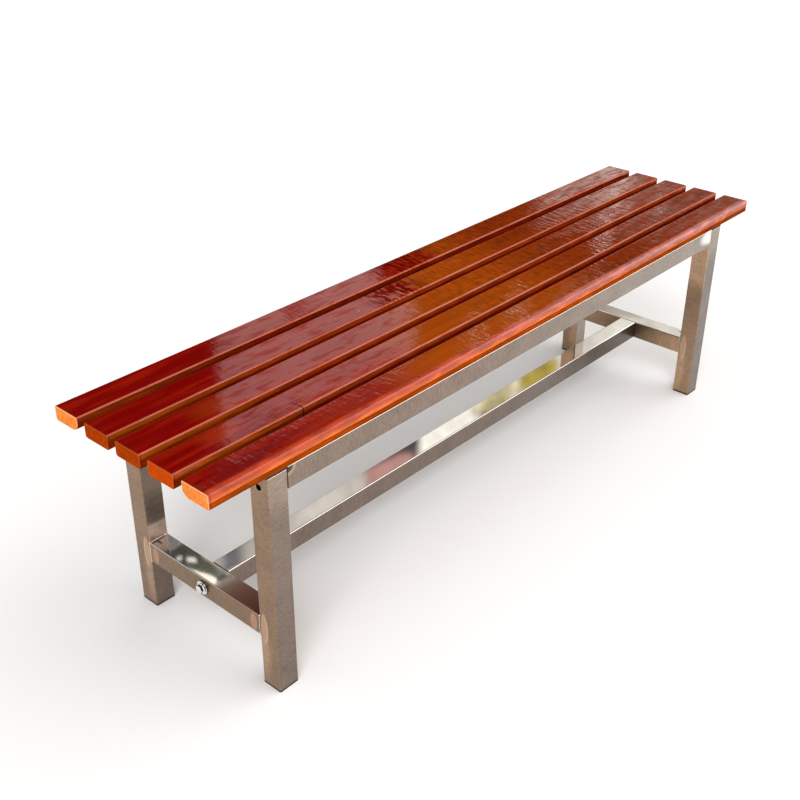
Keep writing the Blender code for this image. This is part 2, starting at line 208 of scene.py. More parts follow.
class Sheet:
    """A node tree with short ways to add to it."""

    def __init__(self, tree: NodeTree) -> None:
        """Start on a tree."""
        self.tree = tree

    def node(self, kind: str, settings: Optional[dict[str, Any]] = None,
             feeds: Optional[Feeds] = None) -> Node:
        """Add a node, set it, and then feed its sockets.

        Args:
            kind: The node's type.
            settings: Its properties by name.
            feeds: Values or links by the socket's number or name.

        Returns:
            The node.
        """
        node = self.tree.nodes.new(kind)
        for name, setting in (settings or {}).items():
            setattr(node, name, setting)
        for name, feed in (feeds or {}).items():
            self.feed(node.inputs[name], feed)
        return node

    def feed(self, socket: NodeSocket, feed: Feed) -> None:
        """Link or set one input.

        Args:
            socket: The input.
            feed: A value or a socket to link, or a constant.
        """
        if isinstance(feed, Value):
            self.tree.links.new(feed.socket, socket)
        elif isinstance(feed, NodeSocket):
            self.tree.links.new(feed, socket)
        elif isinstance(feed, tuple) and socket.type == "RGBA" and len(feed) == 3:
            socket.default_value = (*feed, 1.0)
        else:
            socket.default_value = feed

    def value(self, kind: str, settings: Optional[dict[str, Any]] = None, feeds: Optional[Feeds] = None,
              output: Union[int, str] = 0) -> Value:
        """Add a node and return one of its outputs as a value."""
        return Value(self, self.node(kind, settings, feeds).outputs[output])

    def maths(self, operation: str, *terms: Number) -> Value:
        """Add a Math node."""
        return self.value("ShaderNodeMath", {"operation": operation}, dict(enumerate(terms)))

    def blend(self, share: Number, start: Feed, end: Feed) -> NodeSocket:
        """Return one colour mixed into another."""
        settings = {"data_type": "RGBA", "clamp_factor": True}
        return self.node("ShaderNodeMix", settings, {0: share, 6: start, 7: end}).outputs[2]

    def shade(self, colour: Feed, amount: Number) -> NodeSocket:
        """Return a colour made lighter or darker by a factor."""
        feeds = {0: colour, "Scale": amount}
        return self.node("ShaderNodeVectorMath", {"operation": "SCALE"}, feeds).outputs[0]


class Paint(Sheet):
    """A material's nodes around one Principled shader."""

    def __init__(self, name: str) -> None:
        """Start a material.

        Args:
            name: The material's name.
        """
        self.material = bpy.data.materials.new(name)
        self.material.use_nodes = True
        super().__init__(self.material.node_tree)
        self.shader = self.tree.nodes["Principled BSDF"]
        self.place = self.node("ShaderNodeTexCoord").outputs["Object"]
        split = self.node("ShaderNodeSeparateXYZ", None, {0: self.place})
        self.x, self.y, self.z = (Value(self, split.outputs[i]) for i in range(3))

    def dress(self, **feeds: Feed) -> Material:
        """Feed the shader's sockets.

        Args:
            feeds: Values by socket name, with _ for a space.

        Returns:
            The finished material.
        """
        for name, feed in feeds.items():
            self.feed(self.shader.inputs[name.replace("_", " ")], feed)
        return self.material

    def matted(self, share: Number, colour: Feed, roughness: float, specular: float) -> None:
        """Mix a second, dull shader into the first.

        Args:
            share: How much of the dull shader shows.
            colour: Its colour.
            roughness: Its roughness.
            specular: How strongly it mirrors.
        """
        feeds = {"Base Color": colour, "Roughness": roughness, "Specular IOR Level": specular}
        dull = self.node("ShaderNodeBsdfPrincipled", None, feeds)
        shaders = {0: share, 1: self.shader.outputs[0], 2: dull.outputs[0]}
        mixed = self.node("ShaderNodeMixShader", None, shaders)
        self.feed(self.tree.nodes["Material Output"].inputs["Surface"], mixed.outputs[0])

    def spot(self, across: Value, up: Value, middle: Pair, reach: Pair,
             soft: float = 0.35) -> Value:
        """Return 1 inside an oval, falling to 0 outside it.

        Args:
            across: The place along the oval's first axis.
            up: The place along its second axis.
            middle: The oval's middle.
            reach: Half of its size on each axis.
            soft: The share of its size over which it fades.

        Returns:
            A value from 0 to 1.
        """
        off_across = (across - middle[0]) / reach[0]
        off_up = (up - middle[1]) / reach[1]
        off = (off_across * off_across + off_up * off_up).maths("SQRT")
        return 1 - off.rise(1 - soft, 1 + soft)

    def facing(self) -> tuple[Value, Value, Value]:
        """Read which way the surface faces.

        Returns:
            Its outward direction along X, Y and Z.
        """
        normal = self.node("ShaderNodeNewGeometry").outputs["Normal"]
        split = self.node("ShaderNodeSeparateXYZ", None, {0: normal})
        return tuple(Value(self, split.outputs[i]) for i in range(3))

    def to_right(self) -> Value:
        """Return 0 on the bench's left half and 1 on its right half."""
        return self.x.rise(*RIGHT_HALF)

    def to_back(self) -> Value:
        """Return 0 on the bench's front half and 1 on its back half."""
        return self.y.rise(*BACK_HALF)

    def stretch(self, vector: NodeSocket, scale: Point) -> NodeSocket:
        """Return a place scaled by axis."""
        return self.node("ShaderNodeVectorMath", {"operation": "MULTIPLY"}, {0: vector, 1: scale}).outputs[0]

    def join(self, x: Number, y: Number, z: Number) -> NodeSocket:
        """Return a vector made of three numbers."""
        return self.node("ShaderNodeCombineXYZ", None, {0: x, 1: y, 2: z}).outputs[0]

    def noise(self, vector: NodeSocket, pattern: Pattern) -> Value:
        """Return noise about 0.5 on a place.

        Args:
            vector: The place.
            pattern: The noise's scale, detail and swirl.

        Returns:
            The noise.
        """
        return self.value("ShaderNodeTexNoise", None,
                          {"Vector": self.stretch(vector, pattern.scale), "Scale": 1.0,
                           "Detail": pattern.detail, "Distortion": pattern.swirl})

    def bump(self, height: Value, distance: float) -> NodeSocket:
        """Return the normal of a surface whose height is a value times a distance in metres."""
        feeds = {"Strength": 1.0, "Distance": distance, "Height": height}
        return self.node("ShaderNodeBump", None, feeds).outputs[0]


@dataclass(frozen=True)
class Mark:
    """A small mark on a slat's top: a knot, a stain, a chip, or a patch of painted reflection."""

    x: float
    y: float
    reach_x: float
    reach_y: float
    colour: Colour
    share: float
    soft: float = 0.35


@dataclass
class Boards:
    """What the wood's finish reads at a point: its slat, its place on it, and the grain there."""

    paint: Paint
    half_length: float = 0.750
    half_width: float = 0.175
    pitch: float = 0.0735
    slat_width: float = 0.056
    top: float = 0.425
    crease_height: float = 0.4111
    middle_slat: int = 2
    outer_slat: Span = (1.4, 1.6)
    outer_face: Span = (0.0010, 0.0004)
    top_edge: Span = (0.0030, 0.0012)
    end_depth: Span = (0.0006, 0.0002)
    shift: Point = (3.7, 1.9, 2.3)
    fine_grain: Pattern = Pattern((5.0, 330.0, 330.0), 3.0)
    broad_grain: Pattern = Pattern((2.2, 40.0, 40.0), 3.0, 0.5)
    clouds: Pattern = Pattern((9.0, 22.0, 22.0))

    def __post_init__(self) -> None:
        """Work out where a point is."""
        paint = self.paint
        self.slat = ((paint.y + self.half_width) / self.pitch).floor()
        self.across = paint.y + self.half_width - self.slat * self.pitch
        drift = paint.join(*(self.slat * amount for amount in self.shift))
        add = {"operation": "ADD"}
        self.shifted = paint.node("ShaderNodeVectorMath", add, {0: paint.place, 1: drift}).outputs[0]
        self.fine = self.noise(self.fine_grain)
        self.broad = self.noise(self.broad_grain)
        self.cloud = self.noise(self.clouds)
        self.is_outer_slat = abs(self.slat - self.middle_slat).rise(*self.outer_slat)
        self.is_outer_face = self.near(abs(paint.y), self.half_width, self.outer_face)
        self.is_top = self.near(paint.z, self.top, self.top_edge)
        self.at_end = self.near(abs(paint.x), self.half_length, self.end_depth)

    def noise(self, pattern: Pattern) -> Value:
        """Return noise that starts anew on every slat."""
        return self.paint.noise(self.shifted, pattern)

    @staticmethod
    def near(place: Value, limit: float, depth: Span) -> Value:
        """Return a rise from 0 to 1 just before a limit."""
        return place.rise(limit - depth[0], limit - depth[1])


@dataclass(frozen=True)
class SlatTops:
    """The tops: deep red at the left, redder under the sheen, brown from the middle on, with painted
    reflection: a golden tint and hatch strokes in the middle, and dark strokes in the sheen.
    """

    left: Colour = (0.162, 0.0010, 0.0005)
    glow: Colour = (0.300, 0.0120, 0.0010)
    # hole: the dark strokes in the sheen, painted reflection of dark surroundings.
    hole: Colour = (0.115, 0.0020, 0.0008)
    sheen: Colour = (0.215, 0.0100, 0.0020)
    # middle: brown, tinted gold by painted reflection.
    middle: Colour = (0.285, 0.048, 0.0020)
    right: Colour = (0.185, 0.022, 0.0015)
    sheen_start: Tone = Tone(-0.62, (0.03,))
    sheen_reach: float = 0.12
    middle_start: Tone = Tone(-0.42, (0.075, 0.10, 0.08))
    middle_reach: float = 0.16
    back_slat: Span = (3.2, 3.8)
    right_start: Span = (0.03, 0.26)
    glow_end: Span = (-0.55, -0.40)
    glow_streaks: Pattern = Pattern((7.0, 60.0, 60.0))
    glow_edge: Span = (0.48, 0.66)
    glow_share: float = 0.45
    # hatch: fine strokes from the middle on, painted ripples of the reflection.
    hatch: Pattern = Pattern((210.0, 52.0, 52.0), 2.0, 0.4)
    hatch_start: Span = (-0.20, 0.0)
    tone: Tone = Tone(0.40, (0.80, 0.44, 1.5))
    hole_strokes: Pattern = Pattern((125.0, 40.0, 40.0), 2.0, 0.3)
    hole_edge: Span = (0.42, 0.52)
    hole_middle: Tone = Tone(-0.46, (0.115,))
    hole_reach: Span = (0.03, 0.09)
    hole_slats: Span = (2.2, 2.8)

    def holes(self, boards: Boards) -> Value:
        """Find the dark strokes, painted reflection, that break the sheen of the two back slats near the
        middle.

        Args:
            boards: What a point is on.

        Returns:
            1 in the strokes.
        """
        strokes = boards.noise(self.hole_strokes).rise(*self.hole_edge)
        near = 1 - abs(boards.paint.x - self.hole_middle.of(boards.slat)).rise(*self.hole_reach)
        return strokes * near * boards.slat.rise(*self.hole_slats)

    def colour(self, boards: Boards, holes: Value) -> NodeSocket:
        """Return the colour of the tops.

        Args:
            boards: What a point is on.
            holes: 1 in the dark strokes near the middle.

        Returns:
            The colour.
        """
        paint = boards.paint
        start = self.sheen_start.of(boards.slat)
        tops = paint.blend(paint.x.rise(start, start + self.sheen_reach), self.left, self.sheen)
        turn = self.middle_start.of(boards.slat, boards.cloud.swing(), boards.slat.rise(*self.back_slat))
        tops = paint.blend(paint.x.rise(turn, turn + self.middle_reach), tops, self.middle)
        tops = paint.blend(paint.x.rise(*self.right_start), tops, self.right)
        # Painted reflection: dark strokes in the sheen.
        tops = paint.blend(holes, tops, self.hole)
        glow = (1 - paint.x.rise(*self.glow_end)) * boards.noise(self.glow_streaks).rise(*self.glow_edge)
        tops = paint.blend(glow * self.glow_share, tops, self.glow)
        # Painted reflection: ripple strokes from the middle on.
        hatched = paint.x.rise(*self.hatch_start) * boards.noise(self.hatch).swing()
        return paint.shade(tops, self.tone.of(boards.broad, boards.fine, hatched))


@dataclass(frozen=True)
class SlatSides:
    """The sides and undersides of the slats, with painted shade low in the gaps and on the back slat's inner
    side, painted light near the left end, and the outer face painted darker towards the right.
    """

    outer: Colour = (0.330, 0.050, 0.0020)
    # inner_left is painted light near the left end; inner_low is painted shade low in the gaps.
    inner_left: Colour = (0.340, 0.058, 0.0030)
    inner: Colour = (0.250, 0.030, 0.0030)
    inner_low: Colour = (0.120, 0.0040, 0.0010)
    left_end: Span = (-0.66, -0.45)
    left_wander: float = 0.3
    low_depth: Span = (0.0110, 0.0070)
    back_slat: Span = (0.110, 0.112)
    back_share: float = 0.75
    left_relief: float = 0.25
    outer_fade: Span = (0.2, 0.6)
    outer_fade_share: float = 0.30
    stains: Pattern = Pattern((22.0, 60.0, 160.0), 3.0)
    stain_edge: Span = (0.35, 0.65)
    tone: Tone = Tone(0.38, (0.42, 0.30, 0.46))

    def colour(self, boards: Boards) -> NodeSocket:
        """Return the colour of the sides.

        Args:
            boards: What a point is on.

        Returns:
            The colour.
        """
        paint = boards.paint
        left = 1 - (paint.x + self.left_wander * boards.cloud.swing()).rise(*self.left_end)
        inner = paint.blend(left, self.inner, self.inner_left)
        # Painted shade: low in the gaps, and on the back slat's inner side.
        low = 1 - boards.near(paint.z, boards.top, self.low_depth)
        low = low.larger(paint.y.rise(*self.back_slat) * self.back_share)
        inner = paint.blend(low * (1 - self.left_relief * left), inner, self.inner_low)
        # Painted shade: the outer face darker towards the right.
        outer = paint.shade(self.outer, 1 - self.outer_fade_share * paint.x.rise(*self.outer_fade))
        sides = paint.blend(boards.is_outer_face, inner, outer)
        stain = paint.noise(paint.place, self.stains).rise(*self.stain_edge)
        return paint.shade(sides, self.tone.of(boards.fine, boards.cloud, stain))


@dataclass(frozen=True)
class Nosing:
    """The rounded long edges of the seat, and the crease below them, with painted highlight, sheen and shade.
    """

    # top, top_right and low hold painted highlight and sheen: the round lighter than the wood, pink towards
    # the right, bright orange low down.
    top: Colour = (0.410, 0.044, 0.0140)
    top_right: Colour = (0.450, 0.150, 0.1250)
    low: Colour = (0.640, 0.118, 0.0150)
    # crease: painted shade in the crease below the nosing.
    crease: Colour = (0.110, 0.008, 0.003)
    reach: Span = (0.0060, 0.0145)
    back_start: Span = (0.0, 0.01)
    back_shift: float = 0.0090
    crease_rise: float = 0.0006
    low_above_crease: float = 0.0020
    low_below_top: float = 0.0025
    turn_right: Span = (-0.5, 0.5)
    stains: Pattern = Pattern((26.0, 70.0, 110.0), 3.0, 0.4)
    stain_edge: Span = (0.38, 0.66)
    fade_start: Span = (0.0, 0.4)
    tone: Tone = Tone(0.70, (0.12, 0.12, 0.46, -0.26))
    crease_drop: float = 0.0002
    crease_reach: float = 0.0003
    crease_soft: float = 0.0004
    crease_base: float = 0.35

    def cover(self, boards: Boards) -> Value:
        """Find the nosing.

        Args:
            boards: What a point is on.

        Returns:
            1 on the nosing.
        """
        paint = boards.paint
        from_edge = boards.half_width - abs(paint.y) + self.back_shift * paint.y.rise(*self.back_start)
        above = paint.z.rise(boards.crease_height, boards.crease_height + self.crease_rise)
        return (1 - from_edge.rise(*self.reach)) * above

    def over(self, boards: Boards, colour: Feed) -> NodeSocket:
        """Paint the nosing over the rest of the wood.

        Args:
            boards: What a point is on.
            colour: The colour of the rest of the wood.

        Returns:
            The colour with its nosing.
        """
        paint = boards.paint
        low = 1 - paint.z.rise(boards.crease_height + self.low_above_crease, boards.top - self.low_below_top)
        top = paint.blend(paint.x.rise(*self.turn_right), self.top, self.top_right)
        nosing = paint.blend(low, top, self.low)
        stain = paint.noise(paint.place, self.stains).rise(*self.stain_edge)
        # fade: painted shade, the lower nosing darker towards the right.
        fade = low * paint.x.rise(*self.fade_start)
        nosing = paint.shade(nosing, self.tone.of(boards.broad, boards.fine, stain, fade))
        colour = paint.blend(self.cover(boards), colour, nosing)
        # Painted shade along the crease.
        crease = paint.z.band(boards.crease_height - self.crease_drop, self.crease_reach, self.crease_soft)
        share = boards.is_outer_face * crease * (self.crease_base + boards.broad)
        return paint.blend(share, colour, self.crease)


@dataclass(frozen=True)
class CutEnds:
    """The cut ends: orange end grain on the two outer slats, deeper on the others, with a painted highlight
    round the eased rim.
    """

    bright: Colour = (0.900, 0.255, 0.048)
    deep: Colour = (0.385, 0.046, 0.002)
    # rim: pale, the painted highlight on the eased rim and the pale specks in the grain.
    rim: Colour = (0.950, 0.500, 0.240)
    dark: Colour = (0.110, 0.008, 0.003)
    grain: Pattern = Pattern((1.0, 210.0, 90.0), 3.0, 0.8)
    grain_shift: float = 5.1
    grain_tilt: float = 0.5
    blotches: Pattern = Pattern((1.0, 120.0, 120.0))
    blotch_shift: float = 2.3
    specks: Pattern = Pattern((1.0, 520.0, 520.0), 1.0)
    speck_edge: Span = (0.62, 0.74)
    speck_share: Tone = Tone(0.04, (0.50,))
    pits: Pattern = Pattern((1.0, 380.0, 620.0), 1.0)
    pit_edge: Span = (0.64, 0.72)
    pit_share: float = 0.35
    pale_slat: Band = (1.0, 0.2, 0.1)
    tone: Tone = Tone(0.34, (0.72, 0.60, 0.42))
    slot_middle: Pair = (-0.1215, 0.4060)
    slot_reach: Pair = (0.0012, 0.0060)
    slot_soft: float = 0.3
    slot_depth: float = 0.001
    slot_share: float = 0.85
    rim_width: Span = (0.0010, 0.0030)
    rim_share: Tone = Tone(0.04, (0.80,))
    rim_grain: Tone = Tone(0.35, (0.9,))

    def colour(self, boards: Boards) -> NodeSocket:
        """Return the colour of the ends.

        Args:
            boards: What a point is on.

        Returns:
            The colour.
        """
        paint = boards.paint
        tilted = paint.join(boards.slat * self.grain_shift, paint.y + self.grain_tilt * paint.z, paint.z)
        upright = paint.join(boards.slat * self.blotch_shift, paint.y, paint.z)
        grain = paint.noise(tilted, self.grain)
        blotch = paint.noise(upright, self.blotches)
        ends = paint.blend(boards.is_outer_slat, self.deep, self.bright)
        ends = paint.shade(ends, self.tone.of(grain, blotch, boards.slat.band(*self.pale_slat)))
        specks = paint.noise(paint.place, self.specks).rise(*self.speck_edge)
        ends = paint.blend(specks * self.speck_share.of(boards.is_outer_slat), ends, self.rim)
        pits = paint.noise(paint.place, self.pits).rise(*self.pit_edge)
        ends = paint.blend(pits * self.pit_share, ends, self.dark)
        slot = paint.spot(paint.y, paint.z, self.slot_middle, self.slot_reach, self.slot_soft)
        at_left = paint.x.band(-boards.half_length, self.slot_depth, self.slot_depth)
        ends = paint.blend(slot * at_left * self.slot_share, ends, self.dark)
        # Painted highlight round the eased rim.
        from_edge = boards.across.smaller(boards.slat_width - boards.across)
        rim = 1 - (boards.top - paint.z).smaller(from_edge).rise(*self.rim_width)
        share = rim * self.rim_share.of(boards.is_outer_slat) * self.rim_grain.of(boards.fine)
        return paint.blend(share, ends, self.rim)


@dataclass(frozen=True)
class Ripples:
    """The ripples in the varnish, in millimetres, which break up what it mirrors."""

    far: Span = (-0.10, 0.50)
    front_slat: Span = (0.2, 0.6)
    swell: Pattern = Pattern((24.0, 30.0, 30.0), 1.0)
    crisp: Pattern = Pattern((150.0, 210.0, 210.0))
    streaks: Pattern = Pattern((15.0, 220.0, 220.0))
    board: Pattern = Pattern((118.0, 34.0, 34.0), 1.0, 0.3)
    hatch: Pattern = Pattern((200.0, 24.0, 24.0), 1.0, 0.2)
    board_start: Span = (-0.42, -0.18)
    swell_height: float = 0.15
    crisp_height: Tone = Tone(0.022, (-0.018,))
    streak_height: Tone = Tone(0.052, (-0.034,))
    board_height: Tone = Tone(0.026, (0.085, 0.06, 0.13))
    hatch_height: float = 0.060
    nosing_share: float = 0.85

    def height(self, boards: Boards, on_nosing: Value) -> Value:
        """Return the height of the ripples.

        Args:
            boards: What a point is on.
            on_nosing: 1 on the nosing, which is smoother.

        Returns:
            The height in millimetres.
        """
        x = boards.paint.x
        far = x.rise(*self.far)
        front = (1 - boards.slat.rise(*self.front_slat)) * (1 - far)
        layers = ((self.swell, self.swell_height),
                  (self.crisp, self.crisp_height.of(far)),
                  (self.streaks, self.streak_height.of(far)),
                  (self.board, self.board_height.of(x.rise(*self.board_start), far, front)),
                  (self.hatch, self.hatch_height * far))
        height = sum(boards.noise(pattern).swing() * amount for pattern, amount in layers)
        return height * (1 - self.nosing_share * on_nosing)


@dataclass(frozen=True)
class VarnishedWood:
    """Red-brown varnish on softwood, glossy on the tops and dull on the sides and ends."""

    # arris: paler on the rounded upper edges: thin varnish, and a painted highlight.
    arris: Colour = (0.540, 0.082, 0.020)
    check: Colour = (0.014, 0.002, 0.001)
    behind_rim: Colour = (0.110, 0.008, 0.003)
    facing_up: Span = (0.30, 0.50)
    facing_flat: Span = (0.95, 0.995)
    arris_depth: Span = (0.0045, 0.0032)
    arris_share: Tone = Tone(0.0, (0.55, 0.7))
    check_x: Tone = Tone(-0.5175, (-0.10, 0.0030))
    check_width: Span = (0.0006, 0.0014)
    check_across: Band = (-0.0900, 0.0120, 0.0010)
    check_share: float = 0.9
    rim_band: Band = (0.0030, 0.0006, 0.0010)
    rim_share: float = 0.55
    below_arris: Span = (0.0055, 0.0038)
    far: Span = (0.05, 0.30)
    far_patches: Pattern = Pattern((20.0, 85.0, 85.0), 3.0, 0.6)
    far_edge: Span = (0.36, 0.64)
    far_share: float = 0.60
    mottles: Pattern = Pattern((24.0, 80.0, 80.0), 3.0, 0.4)
    mottle_edge: Span = (0.50, 0.64)
    mottle_share: float = 0.50
    hole_share: float = 0.9
    nosing_gloss: float = 0.55
    gloss: Tone = Tone(0.020, (0.045,))
    specular: float = 0.5
    dull_roughness: float = 0.55
    dull_specular: float = 0.0
    marks: tuple[Mark, ...] = (
        # The first two are orange patches at the left edge of the sheen: painted reflection.
        Mark(-0.6350, -0.0660, 0.0340, 0.0180, (0.330, 0.024, 0.001), 0.60, 0.70),
        Mark(-0.5950, 0.0000, 0.0380, 0.0220, (0.240, 0.026, 0.002), 0.60, 0.70),
        Mark(-0.7140, -0.0696, 0.0045, 0.0026, (0.090, 0.006, 0.002), 0.85),
        Mark(-0.6052, -0.1578, 0.0030, 0.0012, (0.050, 0.004, 0.002), 0.80),
        Mark(-0.3227, -0.1668, 0.0016, 0.0014, (0.080, 0.006, 0.002), 0.90),
        Mark(-0.4454, -0.1690, 0.0070, 0.0040, (0.250, 0.020, 0.008), 0.45),
        Mark(-0.2136, 0.0648, 0.0018, 0.0013, (0.600, 0.250, 0.150), 0.80),
        Mark(0.1200, 0.0100, 0.0060, 0.0030, (0.110, 0.010, 0.002), 0.60),
        Mark(0.4300, 0.1500, 0.0055, 0.0028, (0.110, 0.010, 0.002), 0.60))

    def material(self) -> Material:
        """Make the material.

        Returns:
            The finished material.
        """
        paint = Paint(Slot.WOOD.value)
        boards = Boards(paint)
        holes = SlatTops().holes(boards)
        on_nosing = Nosing().cover(boards)
        crack = self.crack(boards)

        colour = paint.blend(boards.is_top, SlatSides().colour(boards), SlatTops().colour(boards, holes))
        # Paler rounded edges: thin varnish, and a painted highlight.
        colour = paint.blend(self.on_arris(boards), colour, self.arris)
        colour = Nosing().over(boards, colour)
        for mark in self.marks:
            share = paint.spot(paint.x, paint.y, (mark.x, mark.y), (mark.reach_x, mark.reach_y), mark.soft)
            colour = paint.blend(share * boards.is_top * mark.share, colour, mark.colour)
        colour = paint.blend(crack, colour, self.check)
        depth, reach, soft = self.rim_band
        behind_rim = abs(paint.x).band(boards.half_length - depth, reach, soft)
        colour = paint.blend(behind_rim * self.rim_share, colour, self.behind_rim)
        colour = paint.blend(boards.at_end, colour, CutEnds().colour(boards))

        height = Ripples().height(boards, on_nosing)
        paint.dress(Base_Color=colour, Roughness=self.gloss.of(boards.cloud),
                    Specular_IOR_Level=self.specular, Normal=paint.bump(height, MILLIMETRE))
        dull = self.dull(boards, holes, crack) * (1 - self.nosing_gloss * on_nosing)
        paint.matted(dull, colour, self.dull_roughness, self.dull_specular)
        return paint.material

    def on_arris(self, boards: Boards) -> Value:
        """Find the rounded upper edges of the slats.

        Args:
            boards: What a point is on.

        Returns:
            How much of the paler colour shows there: thin varnish, and a painted highlight.
        """
        _, _, up = boards.paint.facing()
        rounded = up.rise(*self.facing_up) * (1 - up.rise(*self.facing_flat))
        upper = boards.near(boards.paint.z, boards.top, self.arris_depth)
        return rounded * upper * self.arris_share.of(boards.fine, boards.broad)

    def crack(self, boards: Boards) -> Value:
        """Find the thin check that crosses the front half of the second slat.

        Args:
            boards: What a point is on.

        Returns:
            How much of the check shows.
        """
        line = abs(boards.paint.x - self.check_x.of(boards.paint.y, boards.fine.swing()))
        across = boards.paint.y.band(*self.check_across)
        return (1 - line.rise(*self.check_width)) * across * self.check_share

    def dull(self, boards: Boards, holes: Value, crack: Value) -> Value:
        """Return how much of the dull shader shows.

        Args:
            boards: What a point is on.
            holes: 1 in the dark strokes near the middle.
            crack: 1 along the check in the second slat.

        Returns:
            A value from 0 to 1: full on sides and ends, and in patches on the tops.
        """
        far = boards.paint.x.rise(*self.far)
        patches = (1 - boards.noise(self.far_patches).rise(*self.far_edge)) * self.far_share
        mottles = boards.noise(self.mottles).rise(*self.mottle_edge) * self.mottle_share
        on_top = (mottles + far * (patches - mottles)).larger(holes * self.hole_share).larger(crack)
        below_arris = 1 - boards.near(boards.paint.z, boards.top, self.below_arris)
        return boards.at_end.larger(below_arris).larger(boards.is_top * on_top)


@dataclass(frozen=True)
class LegTone:
    """Painted light and shade on the legs' brushed faces, by height, by leg, and on the end faces."""

    low: Span = (0.04, 0.26)
    high: Span = (0.31, 0.37)
    lit_band: Band = (0.150, 0.014, 0.004)
    above_lit: Span = (0.16, 0.18)
    below_bar: Span = (0.096, 0.102)
    sides: Tone = Tone(0.74, (0.14, 0.42, 0.80, -0.25, 0.75))
    # The spot below is a painted light patch low on the end faces.
    light_patch_middle: Pair = (0.141, 0.060)
    light_patch_reach: Pair = (0.012, 0.048)
    light_patch_soft: float = 0.6
    right: Span = (0.3, 0.6)
    upper: Span = (0.24, 0.29)
    ends: Tone = Tone(0.90, (0.46, 0.70, 0.22))

    def of(self, paint: Paint, is_end_face: Value) -> Value:
        """Return the factor on the colour.

        Args:
            paint: The material's nodes.
            is_end_face: 1 on faces that look along the bench.

        Returns:
            The factor.
        """
        left_back = paint.to_back() * (1 - paint.to_right())
        right_back = paint.to_back() * paint.to_right()
        sides = self.sides.of(paint.z.rise(*self.low), paint.z.rise(*self.high),
                              paint.z.band(*self.lit_band) * left_back,
                              left_back * paint.z.rise(*self.above_lit),
                              right_back * (1 - paint.z.rise(*self.below_bar)))
        right = paint.x.rise(*self.right)
        # A painted light patch low on the end faces.
        light_patch = paint.spot(abs(paint.y), paint.z, self.light_patch_middle, self.light_patch_reach, self.light_patch_soft)
        ends = self.ends.of(light_patch, right * paint.z.rise(*self.upper), right)
        return sides + is_end_face * (ends - sides)


@dataclass(frozen=True)
class BarTone:
    """Painted light on the crossbars' and cross members' brushed faces: the right ones lighter further out.
    """

    left: float = 0.84
    reach: Span = (0.020, 0.125)
    right: Tone = Tone(0.78, (0.60,))

    def of(self, paint: Paint, is_end_face: Value) -> Value:
        """Return the factor on the colour."""
        return self.left + paint.to_right() * (self.right.of(abs(paint.y).rise(*self.reach)) - self.left)


@dataclass(frozen=True)
class RailTone:
    """Painted light and shade on the rails' and the stretcher's brushed faces: the rails lighter and the
    stretcher darker towards the right.
    """

    rail_turn: Span = (-0.30, 0.50)
    rail: Tone = Tone(0.98, (0.24,))
    stretcher_turn: Span = (0.20, 0.50)
    stretcher: Tone = Tone(0.80, (-0.25,))

    def of(self, paint: Paint, is_end_face: Value) -> Value:
        """Return the factor on the colour.

        Args:
            paint: The material's nodes.
            is_end_face: 1 on faces that look along the bench, which are no different here.

        Returns:
            The factor.
        """
        rail = self.rail.of(paint.x.rise(*self.rail_turn))
        stretcher = self.stretcher.of(paint.x.rise(*self.stretcher_turn))
        return stretcher + paint.z.rise(*UNDER_SEAT) * (rail - stretcher)


# Painted light and shade on the tubes' faces, by which way the tube runs.
TONES = {Run.X: RailTone(), Run.Y: BarTone(), Run.Z: LegTone()}


@dataclass(frozen=True)
class Patch:
    """An oval mark round a weld, by how far out it is along Y and up."""

    middle: Pair
    reach: Pair
    soft: float
    colour: Colour
    share: float


